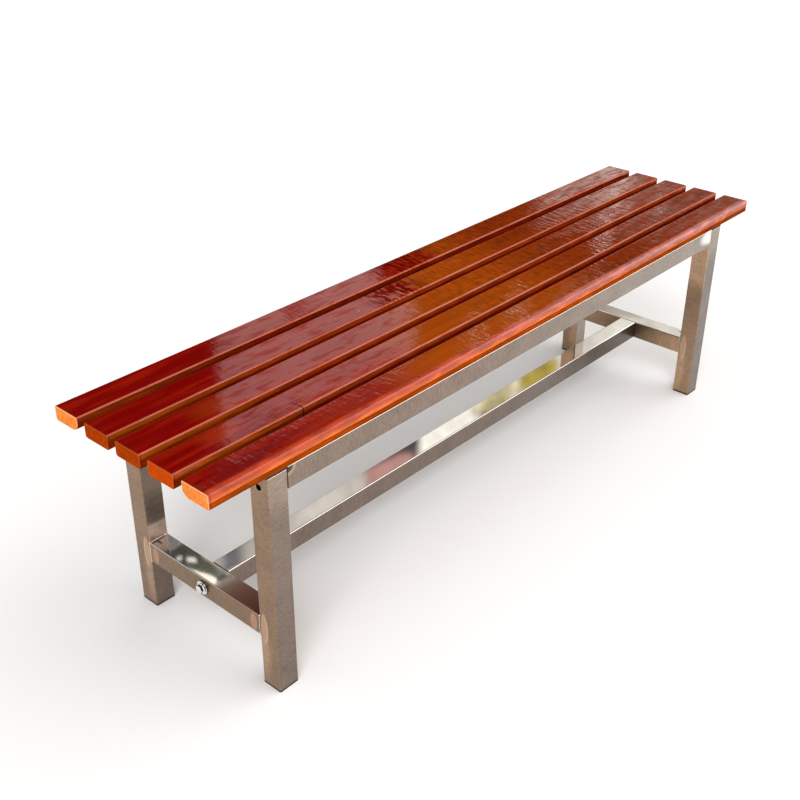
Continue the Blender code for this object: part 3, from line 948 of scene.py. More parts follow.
@dataclass(frozen=True)
class HeatMarks:
    """What welding has left on the steel: ovals beside the seams, scorches on top, and burns on the rails,
    with a painted highlight along the seams.
    """

    patches: tuple[Patch, ...] = (
        Patch((0.1440, 0.1120), (0.0068, 0.0280), 0.22, (0.740, 0.510, 0.350), 0.85),
        Patch((0.1425, 0.1120), (0.0056, 0.0265), 0.20, (0.540, 0.330, 0.205), 0.90),
        Patch((0.1200, 0.1145), (0.0075, 0.0155), 0.22, (0.580, 0.320, 0.190), 0.80))
    wander: float = 0.006
    frame_start: Span = (0.600, 0.606)
    # seam: a painted highlight, bright straw, along the crossbars' seams on the legs.
    seam: Colour = (0.850, 0.720, 0.560)
    seam_band: Band = (0.134, 0.0008, 0.0010)
    seam_z: float = 0.115
    seam_end: Span = (0.020, 0.023)
    seam_share: float = 0.9
    scorches: tuple[tuple[float, float, float, float], ...] = (
        (0.6270, 0.1310, 0.0120, 0.0022), (0.6330, 0.1240, 0.0022, 0.0070), (0.6390, 0.1290, 0.0060, 0.0018))
    scorch_soft: float = 0.5
    scorch_edge: Span = (0.34, 0.48)
    scorch_share: float = 0.9
    straw: Colour = (0.480, 0.360, 0.220)
    burn: Colour = (0.060, 0.050, 0.055)
    rail_end: float = 0.6067
    rail_top: float = 0.3997
    past_end: float = 0.0005
    right_relief: float = 0.9
    straw_band: Band = (0.0130, 0.0020, 0.0015)
    burn_edge: Span = (0.0095, 0.0112)
    burn_share: float = 0.85

    def over(self, paint: Paint, colour: Feed, cloud: Value, is_end_face: Value,
             is_top: Value) -> NodeSocket:
        """Tint the steel by its welds, and paint a highlight along the seams.

        Args:
            paint: The material's nodes.
            colour: The colour of clean steel.
            cloud: Slow variation.
            is_end_face: 1 on faces that look along the bench.
            is_top: 1 on faces that look up.

        Returns:
            The colour with its heat marks.
        """
        out = abs(paint.y) + self.wander * cloud.swing()
        at_frame = abs(paint.x).rise(*self.frame_start) * is_end_face
        for patch in self.patches:
            mark = paint.spot(out, paint.z, patch.middle, patch.reach, patch.soft)
            colour = paint.blend(mark * at_frame * patch.share, colour, patch.colour)
        # A painted highlight along the seam.
        beside = abs(paint.z - self.seam_z).rise(*self.seam_end)
        seam = abs(paint.y).band(*self.seam_band) * (1 - beside)
        colour = paint.blend(seam * at_frame * self.seam_share, colour, self.seam)
        for x, y, reach_x, reach_y in self.scorches:
            scorch = paint.spot(abs(paint.x), abs(paint.y), (x, y), (reach_x, reach_y), self.scorch_soft)
            share = scorch * is_top * cloud.rise(*self.scorch_edge) * self.scorch_share
            colour = paint.blend(share, colour, self.burn)
        return self.on_rail(paint, colour, is_top)

    def on_rail(self, paint: Paint, colour: Feed, is_top: Value) -> NodeSocket:
        """Tint the quarter round at the upper corner of the rails' ends, mostly the left ones.

        Args:
            paint: The material's nodes.
            colour: The colour so far.
            is_top: 1 on faces that look up.

        Returns:
            The colour with its burns.
        """
        off_end = abs(paint.x) - self.rail_end
        off_top = paint.z - self.rail_top
        off = (off_end * off_end + off_top * off_top).maths("SQRT")
        in_rail = (1 - abs(paint.x).rise(self.rail_end, self.rail_end + self.past_end)) * (1 - is_top)
        in_rail = in_rail * (1 - self.right_relief * paint.to_right()) * self.burn_share
        colour = paint.blend(off.band(*self.straw_band) * in_rail, colour, self.straw)
        return paint.blend((1 - off.rise(*self.burn_edge)) * in_rail, colour, self.burn)


@dataclass(frozen=True)
class BrushedSteel:
    """Stainless tube brushed across its length: warm and grained on its sides, mirror-like on top, with
    painted reflection in its colour by face and a painted highlight on the rails.
    """

    run: Run
    # The colours by face are painted reflection: end faces browner than front faces, front faces lighter
    # towards the right, tops far lighter.
    end_face: Colour = (0.335, 0.228, 0.134)
    end_face_mauve: Colour = (0.335, 0.216, 0.150)
    front_face: Colour = (0.278, 0.214, 0.174)
    front_face_right: Colour = (0.272, 0.232, 0.202)
    top: Colour = (0.840, 0.815, 0.780)
    # near_top: painted reflection, dark brown, on the left crossbar's top at its front end.
    near_top: Colour = (0.560, 0.370, 0.300)
    # A painted highlight, white, on the rails' front faces near their right ends.
    painted_highlight: Colour = (0.930, 0.920, 0.900)
    brush_across: float = 60.0
    brush_along: float = 700.0
    brush_detail: float = 3.0
    coarse_across: float = 70.0
    coarse_along: float = 300.0
    coarse_swirl: float = 0.5
    clouds: Pattern = even(18.0)
    worms: Pattern = even(300.0, 1.0, 1.6)
    hues: Pattern = even(45.0, 3.0)
    hue_edge: Span = (0.35, 0.65)
    facing_up: Span = (0.25, 0.60)
    facing_along: Span = (0.4, 0.8)
    front_turn: Span = (-0.3, 0.5)
    texture: Tone = Tone(0.03, (0.50, 0.24, 0.80, 0.40))
    near_end: Span = (-0.060, -0.015)
    top_tone: Tone = Tone(0.84, (0.12, 0.20))
    side_gloss: Tone = Tone(0.27, (0.12,))
    top_gloss: Tone = Tone(0.012, (0.02, 0.20))
    blur_front: Span = (-0.050, -0.020)
    blur_back: Span = (0.085, 0.105)
    relief: Tone = Tone(0.0, (1.0, 0.6, 0.5))
    relief_distance: float = 0.000012
    top_relief: float = 0.07
    highlight_middle: Pair = (0.6080, 0.3860)
    highlight_reach: Pair = (0.0420, 0.0160)
    highlight_share: float = 0.95

    def scale(self, across: float, along: float) -> Point:
        """Return a noise's scale by axis from its scale across the tube and along it."""
        return tuple(along if axis is self.run else across for axis in Run)

    def material(self) -> Material:
        """Make the material.

        Returns:
            The finished material.
        """
        paint = Paint(f"{Slot.TUBE.value}_{self.run.name.lower()}")
        brush_pattern = Pattern(self.scale(self.brush_across, self.brush_along), self.brush_detail)
        coarse_pattern = Pattern(self.scale(self.coarse_across, self.coarse_along), swirl=self.coarse_swirl)
        patterns = (brush_pattern, coarse_pattern, self.clouds, self.worms)
        brush, coarse, cloud, worm = (paint.noise(paint.place, pattern) for pattern in patterns)
        along, _, up = paint.facing()
        is_top = up.rise(*self.facing_up)
        is_end_face = abs(along).rise(*self.facing_along)

        hue = paint.noise(paint.place, self.hues).rise(*self.hue_edge)
        # Painted reflection: colour by which way the face looks.
        end_face = paint.blend(hue, self.end_face, self.end_face_mauve)
        front_face = paint.blend(paint.x.rise(*self.front_turn), self.front_face, self.front_face_right)
        sides = paint.blend(is_end_face, front_face, end_face)
        tone = TONES[self.run].of(paint, is_end_face)
        sides = paint.shade(sides, tone * self.texture.of(coarse, brush, worm, cloud))
        near = (1 - paint.y.rise(*self.near_end)) * self.on_left_crossbar(paint)
        tops = paint.shade(paint.blend(near, self.top, self.near_top), self.top_tone.of(brush, cloud))
        colour = paint.blend(is_top, sides, tops)
        # A painted highlight on the rail's face near its right end.
        if self.run is Run.X:
            highlight_spot = paint.spot(paint.x, paint.z, self.highlight_middle, self.highlight_reach)
            colour = paint.blend(highlight_spot * (1 - is_top) * self.highlight_share, colour, self.painted_highlight)
        colour = HeatMarks().over(paint, colour, cloud, is_end_face, is_top)

        side_gloss = self.side_gloss.of(brush)
        gloss = side_gloss + is_top * (self.top_gloss.of(brush, self.blur(paint)) - side_gloss)
        relief = self.relief.of(brush, coarse, worm) * (1 - (1 - self.top_relief) * is_top)
        normal = paint.bump(relief, self.relief_distance)
        return paint.dress(Base_Color=colour, Metallic=1.0, Roughness=gloss, Normal=normal)

    def on_left_crossbar(self, paint: Paint) -> Number:
        """Tell the left crossbar from the rest.

        Args:
            paint: The material's nodes.

        Returns:
            1 on the left crossbar.
        """
        if self.run is not Run.Y:
            return 0.0
        return (1 - paint.to_right()) * (1 - paint.z.rise(*UNDER_SEAT))

    def blur(self, paint: Paint) -> Number:
        """Return where the tops are duller: only on the left crossbar, at its ends."""
        at_ends = (1 - paint.y.rise(*self.blur_front)) + paint.y.rise(*self.blur_back)
        return at_ends * self.on_left_crossbar(paint)


@dataclass(frozen=True)
class PlainMetal:
    """A bolt's or a plate's metal, with painted shade on the bolts' faces that do not look along X."""

    slot: Slot
    colour: Colour
    roughness: float
    # How dark the painted shade on faces that do not look along X is; 1 for none.
    painted_side_shade: float = 1.0
    facing_along: Span = (0.25, 0.75)
    clouds: Pattern = even(260.0, 3.0)
    specks: Pattern = even(1600.0)
    tone: Tone = Tone(0.70, (0.35, 0.25))
    gloss: Tone = Tone(0.7, (0.6,))
    relief_distance: float = 0.000015

    def material(self) -> Material:
        """Make the material.

        Returns:
            The finished material.
        """
        paint = Paint(self.slot.value)
        cloud = paint.noise(paint.place, self.clouds)
        specks = paint.noise(paint.place, self.specks)
        along, _, _ = paint.facing()
        faces_along = abs(along).rise(*self.facing_along)
        # Painted shade: faces that do not look along X are darker.
        turned = self.painted_side_shade + (1 - self.painted_side_shade) * faces_along
        colour = paint.shade(self.colour, turned * self.tone.of(cloud, specks))
        return paint.dress(Base_Color=colour, Metallic=1.0, Roughness=self.roughness * self.gloss.of(cloud),
                           Normal=paint.bump(specks, self.relief_distance))


@dataclass(frozen=True)
class WeldMetal:
    """A weld bead's metal, silver with a trace of straw and blue."""

    silver: Colour = (0.780, 0.740, 0.690)
    straw: Colour = (0.620, 0.450, 0.280)
    clouds: Pattern = even(90.0)
    straw_edge: Span = (0.42, 0.66)
    gloss: Tone = Tone(0.22, (0.1,))

    def material(self) -> Material:
        """Make the material.

        Returns:
            The finished material.
        """
        paint = Paint("weld_bead")
        cloud = paint.noise(paint.place, self.clouds)
        colour = paint.blend(cloud.rise(*self.straw_edge), self.silver, self.straw)
        return paint.dress(Base_Color=colour, Metallic=1.0, Roughness=self.gloss.of(cloud))


@dataclass(frozen=True)
class MouldedPlastic:
    """Black moulded plastic with a fine matt grain."""

    colour: Colour = (0.011, 0.011, 0.012)
    grain: Pattern = even(2400.0)
    scuffs: Pattern = even(120.0, 3.0)
    scuff_edge: Span = (0.55, 0.75)
    tone: Tone = Tone(0.7, (0.4, 0.5))
    gloss: Tone = Tone(0.48, (0.15,))
    relief_distance: float = 0.00003

    def material(self) -> Material:
        """Make the material.

        Returns:
            The finished material.
        """
        paint = Paint(Slot.PLASTIC.value)
        grain = paint.noise(paint.place, self.grain)
        scuff = paint.noise(paint.place, self.scuffs)
        colour = paint.shade(self.colour, self.tone.of(grain, scuff.rise(*self.scuff_edge)))
        return paint.dress(Base_Color=colour, Roughness=self.gloss.of(scuff),
                           Normal=paint.bump(grain, self.relief_distance))


class Finishes:
    """Every material of the bench, made once."""

    def __init__(self) -> None:
        """Make the materials."""
        self.wood = VarnishedWood().material()
        self.tube = {run: BrushedSteel(run).material() for run in Run}
        self.weld = WeldMetal().material()
        bright_zinc = (0.88, 0.88, 0.86)
        mill_steel = (0.30, 0.27, 0.24)
        self.fastener = PlainMetal(Slot.FASTENER, bright_zinc, roughness=0.09, painted_side_shade=0.22).material()
        self.plate = PlainMetal(Slot.PLATE, mill_steel, roughness=0.45).material()
        self.plastic = MouldedPlastic().material()


def link(name: str, mesh: Mesh) -> Object:
    """Put a mesh in the scene.

    Args:
        name: The new object's name.
        mesh: Its mesh.

    Returns:
        The object.
    """
    piece = bpy.data.objects.new(name, mesh)
    bpy.context.scene.collection.objects.link(piece)
    return piece


def loft(name: str, rings: Sequence[Ring], closed: bool = False) -> Object:
    """Join rings of equal length into one skin.

    Args:
        name: The object's name.
        rings: The rings, in order.
        closed: Whether the last ring joins the first; otherwise both ends are capped.

    Returns:
        The object, with its faces outward.
    """
    shell = bmesh.new()
    rows = [[shell.verts.new(point) for point in ring] for ring in rings]
    count = len(rows[0])
    pairs = list(zip(rows, rows[1:]))
    if closed:
        pairs.append((rows[-1], rows[0]))
    for low, high in pairs:
        for i in range(count):
            j = (i + 1) % count
            shell.faces.new((low[i], low[j], high[j], high[i]))
    if not closed:
        shell.faces.new(rows[0])
        shell.faces.new(rows[-1])
    bmesh.ops.recalc_face_normals(shell, faces=shell.faces)
    mesh = bpy.data.meshes.new(name)
    shell.to_mesh(mesh)
    shell.free()
    return link(name, mesh)


def smoothed(piece: Object) -> Object:
    """Shade a piece smooth apart from its sharp edges.

    Args:
        piece: The piece.

    Returns:
        The same piece.
    """
    piece.data.shade_smooth()
    piece.data.set_sharp_from_angle(angle=SHARP_EDGE)
    return piece


def settled(piece: Object, helpers: Iterable[Object] = ()) -> Object:
    """Turn a piece's modifiers into plain mesh.

    Args:
        piece: The object with live modifiers.
        helpers: Objects that the modifiers used, to be removed.

    Returns:
        The same object with the finished mesh and no modifiers.
    """
    bpy.context.view_layer.update()
    evaluated = piece.evaluated_get(bpy.context.evaluated_depsgraph_get())
    mesh = bpy.data.meshes.new_from_object(evaluated)
    mesh.name = piece.name
    piece.modifiers.clear()
    piece.data = mesh
    for helper in helpers:
        bpy.data.objects.remove(helper, do_unlink=True)
    return piece


def place(piece: Object, slot: Slot, *nodes: str) -> None:
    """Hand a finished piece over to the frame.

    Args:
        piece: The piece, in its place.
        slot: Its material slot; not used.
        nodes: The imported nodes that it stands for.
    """
    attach(piece, BODY)
    if nodes:
        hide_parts(*nodes)
    stands_for = ", ".join(nodes) or "no node"
    LOG.info("%s: %d faces, stands for %s", piece.name, len(piece.data.polygons), stands_for)


def dress_node(frame: dict, node: str, material: Material) -> None:
    """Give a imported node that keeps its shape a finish.

    Args:
        frame: The loaded frame.
        node: The node's name.
        material: Its finish.
    """
    piece = frame["nodes"][node]
    for slot in piece.material_slots:
        slot.material = material
    LOG.info("%s: keeps its packed shape", node)


def arc(middle: Pair, radius: float, start: float, end: float, steps: int) -> Outline:
    """Return points on an arc.

    Args:
        middle: The arc's middle.
        radius: Its radius.
        start: The angle of its first point, in degrees.
        end: The angle of its last point.
        steps: How many steps it has.

    Returns:
        The points, both ends among them.
    """
    points = []
    for step in range(steps + 1):
        angle = math.radians(start + (end - start) * step / steps)
        points.append((middle[0] + radius * math.cos(angle), middle[1] + radius * math.sin(angle)))
    return points


def rounded_rectangle(width: float, height: float, radius: float, steps: int,
                      support: float = 0.0) -> Outline:
    """Return the outline of a rectangle with round corners.

    Args:
        width: Its size across.
        height: Its size up.
        radius: The corners' radius.
        steps: Steps in each corner.
        support: How far past each corner an extra point keeps the flats flat, or 0 for none.

    Returns:
        The outline, turning from across towards up.
    """
    radius = min(radius, width / 2, height / 2)
    outline = []
    for corner, (sign_u, sign_v) in enumerate(((1, 1), (-1, 1), (-1, -1), (1, -1))):
        middle = (sign_u * (width / 2 - radius), sign_v * (height / 2 - radius))
        points = arc(middle, radius, 90 * corner, 90 * corner + 90, steps)
        if support:
            before = math.radians(90 * corner - 90)
            after = math.radians(90 * corner + 180)
            first, last = points[0], points[-1]
            points.insert(0, (first[0] + support * math.cos(before), first[1] + support * math.sin(before)))
            points.append((last[0] + support * math.cos(after), last[1] + support * math.sin(after)))
        outline += points
    return outline


def turned(run: Run, along: float, u: float, v: float) -> Point:
    """Return a point given by its place along a run and across it."""
    return {Run.X: (along, u, v), Run.Y: (u, along, v), Run.Z: (u, v, along)}[run]


def circle(radius: float, sides: int) -> Outline:
    """Return a circle's points."""
    return [(radius * math.cos(2 * math.pi * i / sides), radius * math.sin(2 * math.pi * i / sides))
            for i in range(sides)]


@dataclass(frozen=True)
class Hole:
    """A round hole through one or more walls."""

    run: Run
    start: Point
    end: Point
    radius: float
    sides: int = 32

    def cutter(self, name: str) -> Object:
        """Make a solid that fills the hole.

        Args:
            name: The solid's name.

        Returns:
            The solid.
        """
        u_axis, v_axis = [i for i in range(3) if i != self.run.value]
        rings = []
        for centre in (self.start, self.end):
            ring = []
            for u, v in circle(self.radius, self.sides):
                ring.append(turned(self.run, centre[self.run.value], centre[u_axis] + u, centre[v_axis] + v))
            rings.append(ring)
        return loft(name, rings)


def cut(piece: Object, cutters: Sequence[Object]) -> Object:
    """Take solids out of a piece.

    Args:
        piece: The piece.
        cutters: The solids, which are removed afterwards.

    Returns:
        The same piece with plain mesh.
    """
    for cutter in cutters:
        modifier = piece.modifiers.new(cutter.name, "BOOLEAN")
        modifier.operation = "DIFFERENCE"
        modifier.solver = "EXACT"
        modifier.object = cutter
    return settled(piece, cutters)


def bore(piece: Object, holes: Sequence[Hole]) -> None:
    """Cut holes in a piece."""
    cut(piece, [hole.cutter(f"cut_{piece.name}_{number}") for number, hole in enumerate(holes)])


@dataclass
class SquareTube:
    """A length of thin square or oblong tube, with its ends deburred."""

    node: str
    run: Run
    wall: float = 0.0012
    corner: float = 0.0020
    corner_steps: int = 6
    support: float = 0.00012
    deburr: float = 0.00025
    bore_corner: float = 0.0008

    def build(self, finishes: Finishes, holes: Sequence[Hole] = ()) -> None:
        """Make the tube in its node's place.

        Args:
            finishes: The bench's materials.
            holes: The holes cut in it.
        """
        low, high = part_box(self.node)
        middle = (low + high) / 2
        size = high - low
        u_axis, v_axis = [i for i in range(3) if i != self.run.value]
        width, height = size[u_axis], size[v_axis]
        outlines = []
        for inset, corner in ((self.wall, self.bore_corner), (0.0, self.corner),
                              (self.deburr, self.corner - self.deburr)):
            outlines.append(rounded_rectangle(width - 2 * inset, height - 2 * inset, corner,
                                              self.corner_steps, self.support))
        inner, outer, eased = outlines
        start, end = low[self.run.value], high[self.run.value]
        sections = ((eased, start), (outer, start + self.deburr), (outer, end - self.deburr), (eased, end),
                    (inner, end), (inner, start))
        rings = []
        for outline, along in sections:
            rings.append([turned(self.run, along, middle[u_axis] + u, middle[v_axis] + v)
                          for u, v in outline])
        tube = loft(f"{self.node}_tube", rings, closed=True)
        tube.data.materials.append(finishes.tube[self.run])
        if holes:
            bore(tube, holes)
        place(smoothed(tube), Slot.TUBE, self.node)


class Tree(Sheet):
    """A Geometry Nodes tree with named inputs."""

    def __init__(self, name: str) -> None:
        """Start a tree that takes and gives geometry.

        Args:
            name: The tree's name.
        """
        super().__init__(bpy.data.node_groups.new(name, "GeometryNodeTree"))
        self.tree.interface.new_socket("Geometry", in_out="INPUT", socket_type="NodeSocketGeometry")
        self.tree.interface.new_socket("Geometry", in_out="OUTPUT", socket_type="NodeSocketGeometry")
        self.entry = self.node("NodeGroupInput")
        self.exit = self.node("NodeGroupOutput")

    def ask(self, name: str, kind: str, default: Any = None) -> Value:
        """Add a named input.

        Args:
            name: The input's name.
            kind: Its type, such as Float, Int, Vector, Object or Material.
            default: Its value where none is given.

        Returns:
            The input.
        """
        socket = self.tree.interface.new_socket(name, in_out="INPUT", socket_type=f"NodeSocket{kind}")
        if default is not None:
            socket.default_value = default
        return Value(self, self.entry.outputs[name])

    def shape(self, kind: str, settings: Optional[dict[str, Any]] = None, feeds: Optional[Feeds] = None,
              output: Union[int, str] = 0) -> NodeSocket:
        """Add a node and return one of its outputs."""
        return self.node(kind, settings, feeds).outputs[output]

    def close(self, geometry: NodeSocket, material: Value) -> GeometryNodeTree:
        """End the tree in Realize Instances and Set Material.

        Args:
            geometry: What the tree has made.
            material: The input that gives its finish.

        Returns:
            The finished tree.
        """
        real = self.shape("GeometryNodeRealizeInstances", None, {"Geometry": geometry})
        dressed = self.shape("GeometryNodeSetMaterial", None, {"Geometry": real, "Material": material})
        self.feed(self.exit.inputs[0], dressed)
        return self.tree


def grown(name: str, mesh: Mesh, tree: GeometryNodeTree, inputs: dict[str, Any],
          helpers: Iterable[Object] = ()) -> Object:
    """Put a mesh through a Geometry Nodes tree.

    Args:
        name: The new object's name.
        mesh: What the tree starts from.
        tree: The tree.
        inputs: The tree's inputs by name.
        helpers: Objects that the inputs name, to be removed.

    Returns:
        An object with plain mesh.
    """
    piece = link(name, mesh)
    modifier = piece.modifiers.new(tree.name, "NODES")
    modifier.node_group = tree
    for item in tree.interface.items_tree:
        if item.item_type == "SOCKET" and item.in_out == "INPUT" and item.name in inputs:
            modifier[item.identifier] = inputs[item.name]
    return settled(piece, helpers)


def wire(name: str, points: Sequence[Point], edges: Sequence[tuple[int, int]]) -> Mesh:
    """Make a mesh of points and edges alone.

    Args:
        name: The mesh's name.
        points: Its points.
        edges: Pairs of points by number.

    Returns:
        The mesh.
    """
    mesh = bpy.data.meshes.new(name)
    mesh.from_pydata(points, edges, [])
    return mesh


def looped(count: int) -> list[tuple[int, int]]:
    """Return the edges of a closed loop of points."""
    return [(i, (i + 1) % count) for i in range(count)]


@dataclass
class Seat:
    """The five slats of the seat."""

    count: int = 5
    edge_radius: float = 0.0030
    top_radius: float = 0.0038
    edge_steps: int = 8
    bullnose_radius: float = 0.0155
    bullnose_sweep: float = 84.0
    bullnose_steps: int = 20
    support: float = 0.00012
    end_ease: float = 0.0010
    end_steps: int = 5
    end_support: float = 0.0003

    def tree(self) -> GeometryNodeTree:
        """Sweep a slat's section along the bench and ease its ends.

        Returns:
            The tree.
        """
        tree = Tree("slat")
        length = tree.ask("Length", "Float")
        width = tree.ask("Width", "Float")
        thickness = tree.ask("Thickness", "Float")
        middle = tree.ask("Middle", "Vector")
        ease = tree.ask("End Ease", "Float", self.end_ease)
        steps = tree.ask("End Steps", "Int", self.end_steps)
        keep = tree.ask("Support", "Float", self.end_support)
        material = tree.ask("Material", "Material")

        index = tree.value("GeometryNodeInputIndex")
        left = (index / steps).smaller(1.0)
        right = ((index - steps - 3) / steps).larger(0.0)
        straight = length - 2 * ease
        is_right = tree.maths("GREATER_THAN", index, steps + 1.5)
        is_support = tree.maths("LESS_THAN", abs(index - steps - 1.5), 1.0)
        x = (straight * (is_right - 0.5) - ease * tree.maths("COSINE", left * (math.pi / 2))
             + ease * tree.maths("SINE", right * (math.pi / 2)) + keep * is_support * (1 - 2 * is_right))
        line = tree.shape("GeometryNodeMeshLine", None, {"Count": steps * 2 + 4})
        stop = tree.shape("ShaderNodeCombineXYZ", None, {0: x})
        line = tree.shape("GeometryNodeSetPosition", None, {"Geometry": line, "Position": stop})
        path = tree.shape("GeometryNodeMeshToCurve", None, {"Mesh": line})
        section = tree.shape("GeometryNodeMeshToCurve", None, {"Mesh": tree.entry.outputs["Geometry"]})
        swept = tree.shape("GeometryNodeCurveToMesh", None,
                           {"Curve": path, "Profile Curve": section, "Fill Caps": True})

        place_now = tree.shape("GeometryNodeInputPosition")
        split = tree.node("ShaderNodeSeparateXYZ", None, {0: place_now})
        x, y, z = (Value(tree, split.outputs[i]) for i in range(3))
        over = ((abs(x) - length / 2 + ease) / ease).larger(0.0).smaller(1.0)
        inset = ease * (1 - (1 - over * over).maths("SQRT"))
        eased = tree.shape("ShaderNodeCombineXYZ", None,
                           {0: x, 1: y * (1 - 2 * inset / width), 2: z * (1 - 2 * inset / thickness)})
        swept = tree.shape("GeometryNodeSetPosition", None, {"Geometry": swept, "Position": eased})
        moved = tree.shape("GeometryNodeTransform", None, {"Geometry": swept, "Translation": middle})
        return tree.close(moved, material)

    def section(self, width: float, thickness: float, nosed: int) -> Outline:
        """Return a slat's section about its middle.

        Args:
            width: The slat's width.
            thickness: Its thickness.
            nosed: The side that has the seat's nosing: -1 front, 1 back, 0 neither.

        Returns:
            The outline, across and up, from the back's lower corner to the front's.
        """
        outline = []
        for sign in (1, -1):
            edge = self.edge(width / 2, thickness / 2, nosed == sign)
            edge = [(sign * across, up) for across, up in edge]
            outline += edge if sign > 0 else edge[::-1]
        return outline

    def edge(self, half_width: float, half_height: float, nosed: bool) -> Outline:
        """Return one long edge of the section, from its underside to its top.

        Args:
            half_width: Half of the slat's width.
            half_height: Half of its thickness.
            nosed: Whether the upper corner is the seat's nosing.

        Returns:
            The points, on the side towards +across.
        """
        small = self.edge_radius
        keep = self.support
        points = [(half_width - small - keep, -half_height)]
        points += arc((half_width - small, small - half_height), small, -90, 0, self.edge_steps)
        points.append((half_width, small - half_height + keep))
        if nosed:
            radius = self.bullnose_radius
            start = 90 - self.bullnose_sweep
            centre = (half_width - radius * math.cos(math.radians(start)), half_height - radius)
            curve = arc(centre, radius, start, 90, self.bullnose_steps)
            points.append((half_width, curve[0][1] - keep))
        else:
            centre = (half_width - self.top_radius, half_height - self.top_radius)
            curve = arc(centre, self.top_radius, 0, 90, self.edge_steps)
            points.append((half_width, curve[0][1] - keep))
        points += curve
        points.append((curve[-1][0] - keep, half_height))
        return points

    def build(self, finishes: Finishes) -> None:
        """Make the slats.

        Args:
            finishes: The bench's materials.
        """
        tree = self.tree()
        for number in range(1, self.count + 1):
            node = f"slat_{number}"
            low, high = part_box(node)
            size = high - low
            nosed = -1 if number == 1 else int(number == self.count)
            outline = self.section(size.y, size.z, nosed)
            mesh = wire(node, [(u, v, 0.0) for u, v in outline], looped(len(outline)))
            slat = grown(f"{node}_board", mesh, tree,
                         {"Length": size.x, "Width": size.y, "Thickness": size.z, "Middle": (low + high) / 2,
                          "End Ease": self.end_ease, "End Steps": self.end_steps, "Support": self.end_support,
                          "Material": finishes.wood})
            place(smoothed(slat), Slot.WOOD, node)


@dataclass
class SlatScrews:
    """The pan-head screws that hold the slats from below."""

    head_flat: float = 0.0016
    head_rim: float = 0.0010
    head_height: float = 0.0026
    head_radius: float = 0.0040
    shank_radius: float = 0.0021
    thread_depth: float = 0.0004
    thread_pitch: float = 0.0018
    tip: float = 0.0040
    recess_reach: float = 0.0021
    recess_width: float = 0.0005
    recess_depth: float = 0.0014
    recess_taper: float = 0.35
    recess_narrowing: float = 0.4
    recess_over: float = 0.0004
    crown_steps: int = 4
    plain_share: float = 0.5
    tip_radius: float = 0.0003
    sides: int = 16
    seed: int = 4

    def tree(self) -> GeometryNodeTree:
        """Stand a screw on every point and turn each one differently.

        Returns:
            The tree.
        """
        tree = Tree("slat_screws")
        screw = tree.ask("Screw", "Object")
        seed = tree.ask("Seed", "Int", self.seed)
        material = tree.ask("Material", "Material")
        feeds = {"Object": screw, "As Instance": True}
        pattern = tree.shape("GeometryNodeObjectInfo", None, feeds, "Geometry")
        turn = tree.shape("FunctionNodeRandomValue", {"data_type": "FLOAT_VECTOR"},
                          {0: (0.0, 0.0, 0.0), 1: (0.0, 0.0, 2 * math.pi), "Seed": seed})
        feeds = {"Points": tree.entry.outputs["Geometry"], "Instance": pattern, "Rotation": turn}
        spread = tree.shape("GeometryNodeInstanceOnPoints", None, feeds, "Instances")
        return tree.close(spread, material)

    def screw(self, name: str, length: float) -> Object:
        """Return one screw, head down, with its bearing face at z = 0.

        Args:
            name: The object's name.
            length: From the bearing face to the tip.

        Returns:
            The screw.
        """
        crown = self.head_height - self.head_rim
        sections = [(self.head_flat, -self.head_height)]
        for step in range(1, self.crown_steps + 1):
            angle = math.pi / 2 * step / self.crown_steps
            reach = self.head_flat + (self.head_radius - self.head_flat) * math.sin(angle)
            sections.append((reach, -self.head_rim - crown * math.cos(angle)))
        sections += [(self.head_radius, 0.0), (self.shank_radius, 0.0)]
        root = self.shank_radius - self.thread_depth
        up = self.plain_share * length
        while up < length - self.tip - self.thread_pitch:
            sections += [(root, up), (self.shank_radius, up + self.thread_pitch / 2)]
            up += self.thread_pitch
        sections += [(root, length - self.tip), (self.tip_radius, length)]
        rings = [[(u, v, z) for u, v in circle(radius, self.sides)] for radius, z in sections]
        return cut(loft(name, rings), [self.recess(name)])

    def recess(self, name: str) -> Object:
        """Make the tapered cross that is cut in a screw's head.

        Args:
            name: The screw's name.

        Returns:
            A solid of the cross.
        """
        rings = []
        mouth = -self.head_height - self.recess_over
        floor = self.recess_depth - self.head_height
        for z, share in ((mouth, 1.0), (floor, self.recess_taper)):
            reach = self.recess_reach * share
            half = self.recess_width * (1 - self.recess_narrowing * (1 - share))
            ring = []
            for u, v in ((1, 0), (0, 1), (-1, 0), (0, -1)):
                ring += [(reach * u + half * v, reach * v - half * u, z),
                         (reach * u - half * v, reach * v + half * u, z),
                         (half * (u - v), half * (u + v), z)]
            rings.append(ring)
        return loft(f"cut_{name}", rings)

    def build(self, finishes: Finishes) -> None:
        """Make the screws: long ones through the rails, short ones through the cross members.

        Args:
            finishes: The bench's materials.
        """
        tree = self.tree()
        for name, numbers in (("slat_screws_long", OUTER_SLATS), ("slat_screws_short", INNER_SLATS)):
            nodes = [f"slat_screw_{member}_{number}" for member in MEMBERS for number in numbers]
            low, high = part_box(nodes[0])
            length = high.z - low.z - self.head_height
            screw = self.screw(f"pattern_{name}", length)
            points = []
            for node in nodes:
                low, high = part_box(node)
                middle = (low + high) / 2
                points.append((middle.x, middle.y, low.z + self.head_height))
            piece = grown(name, wire(name, points, []), tree,
                          {"Screw": screw, "Seed": self.seed, "Material": finishes.fastener}, [screw])
            place(smoothed(piece), Slot.FASTENER, *nodes)


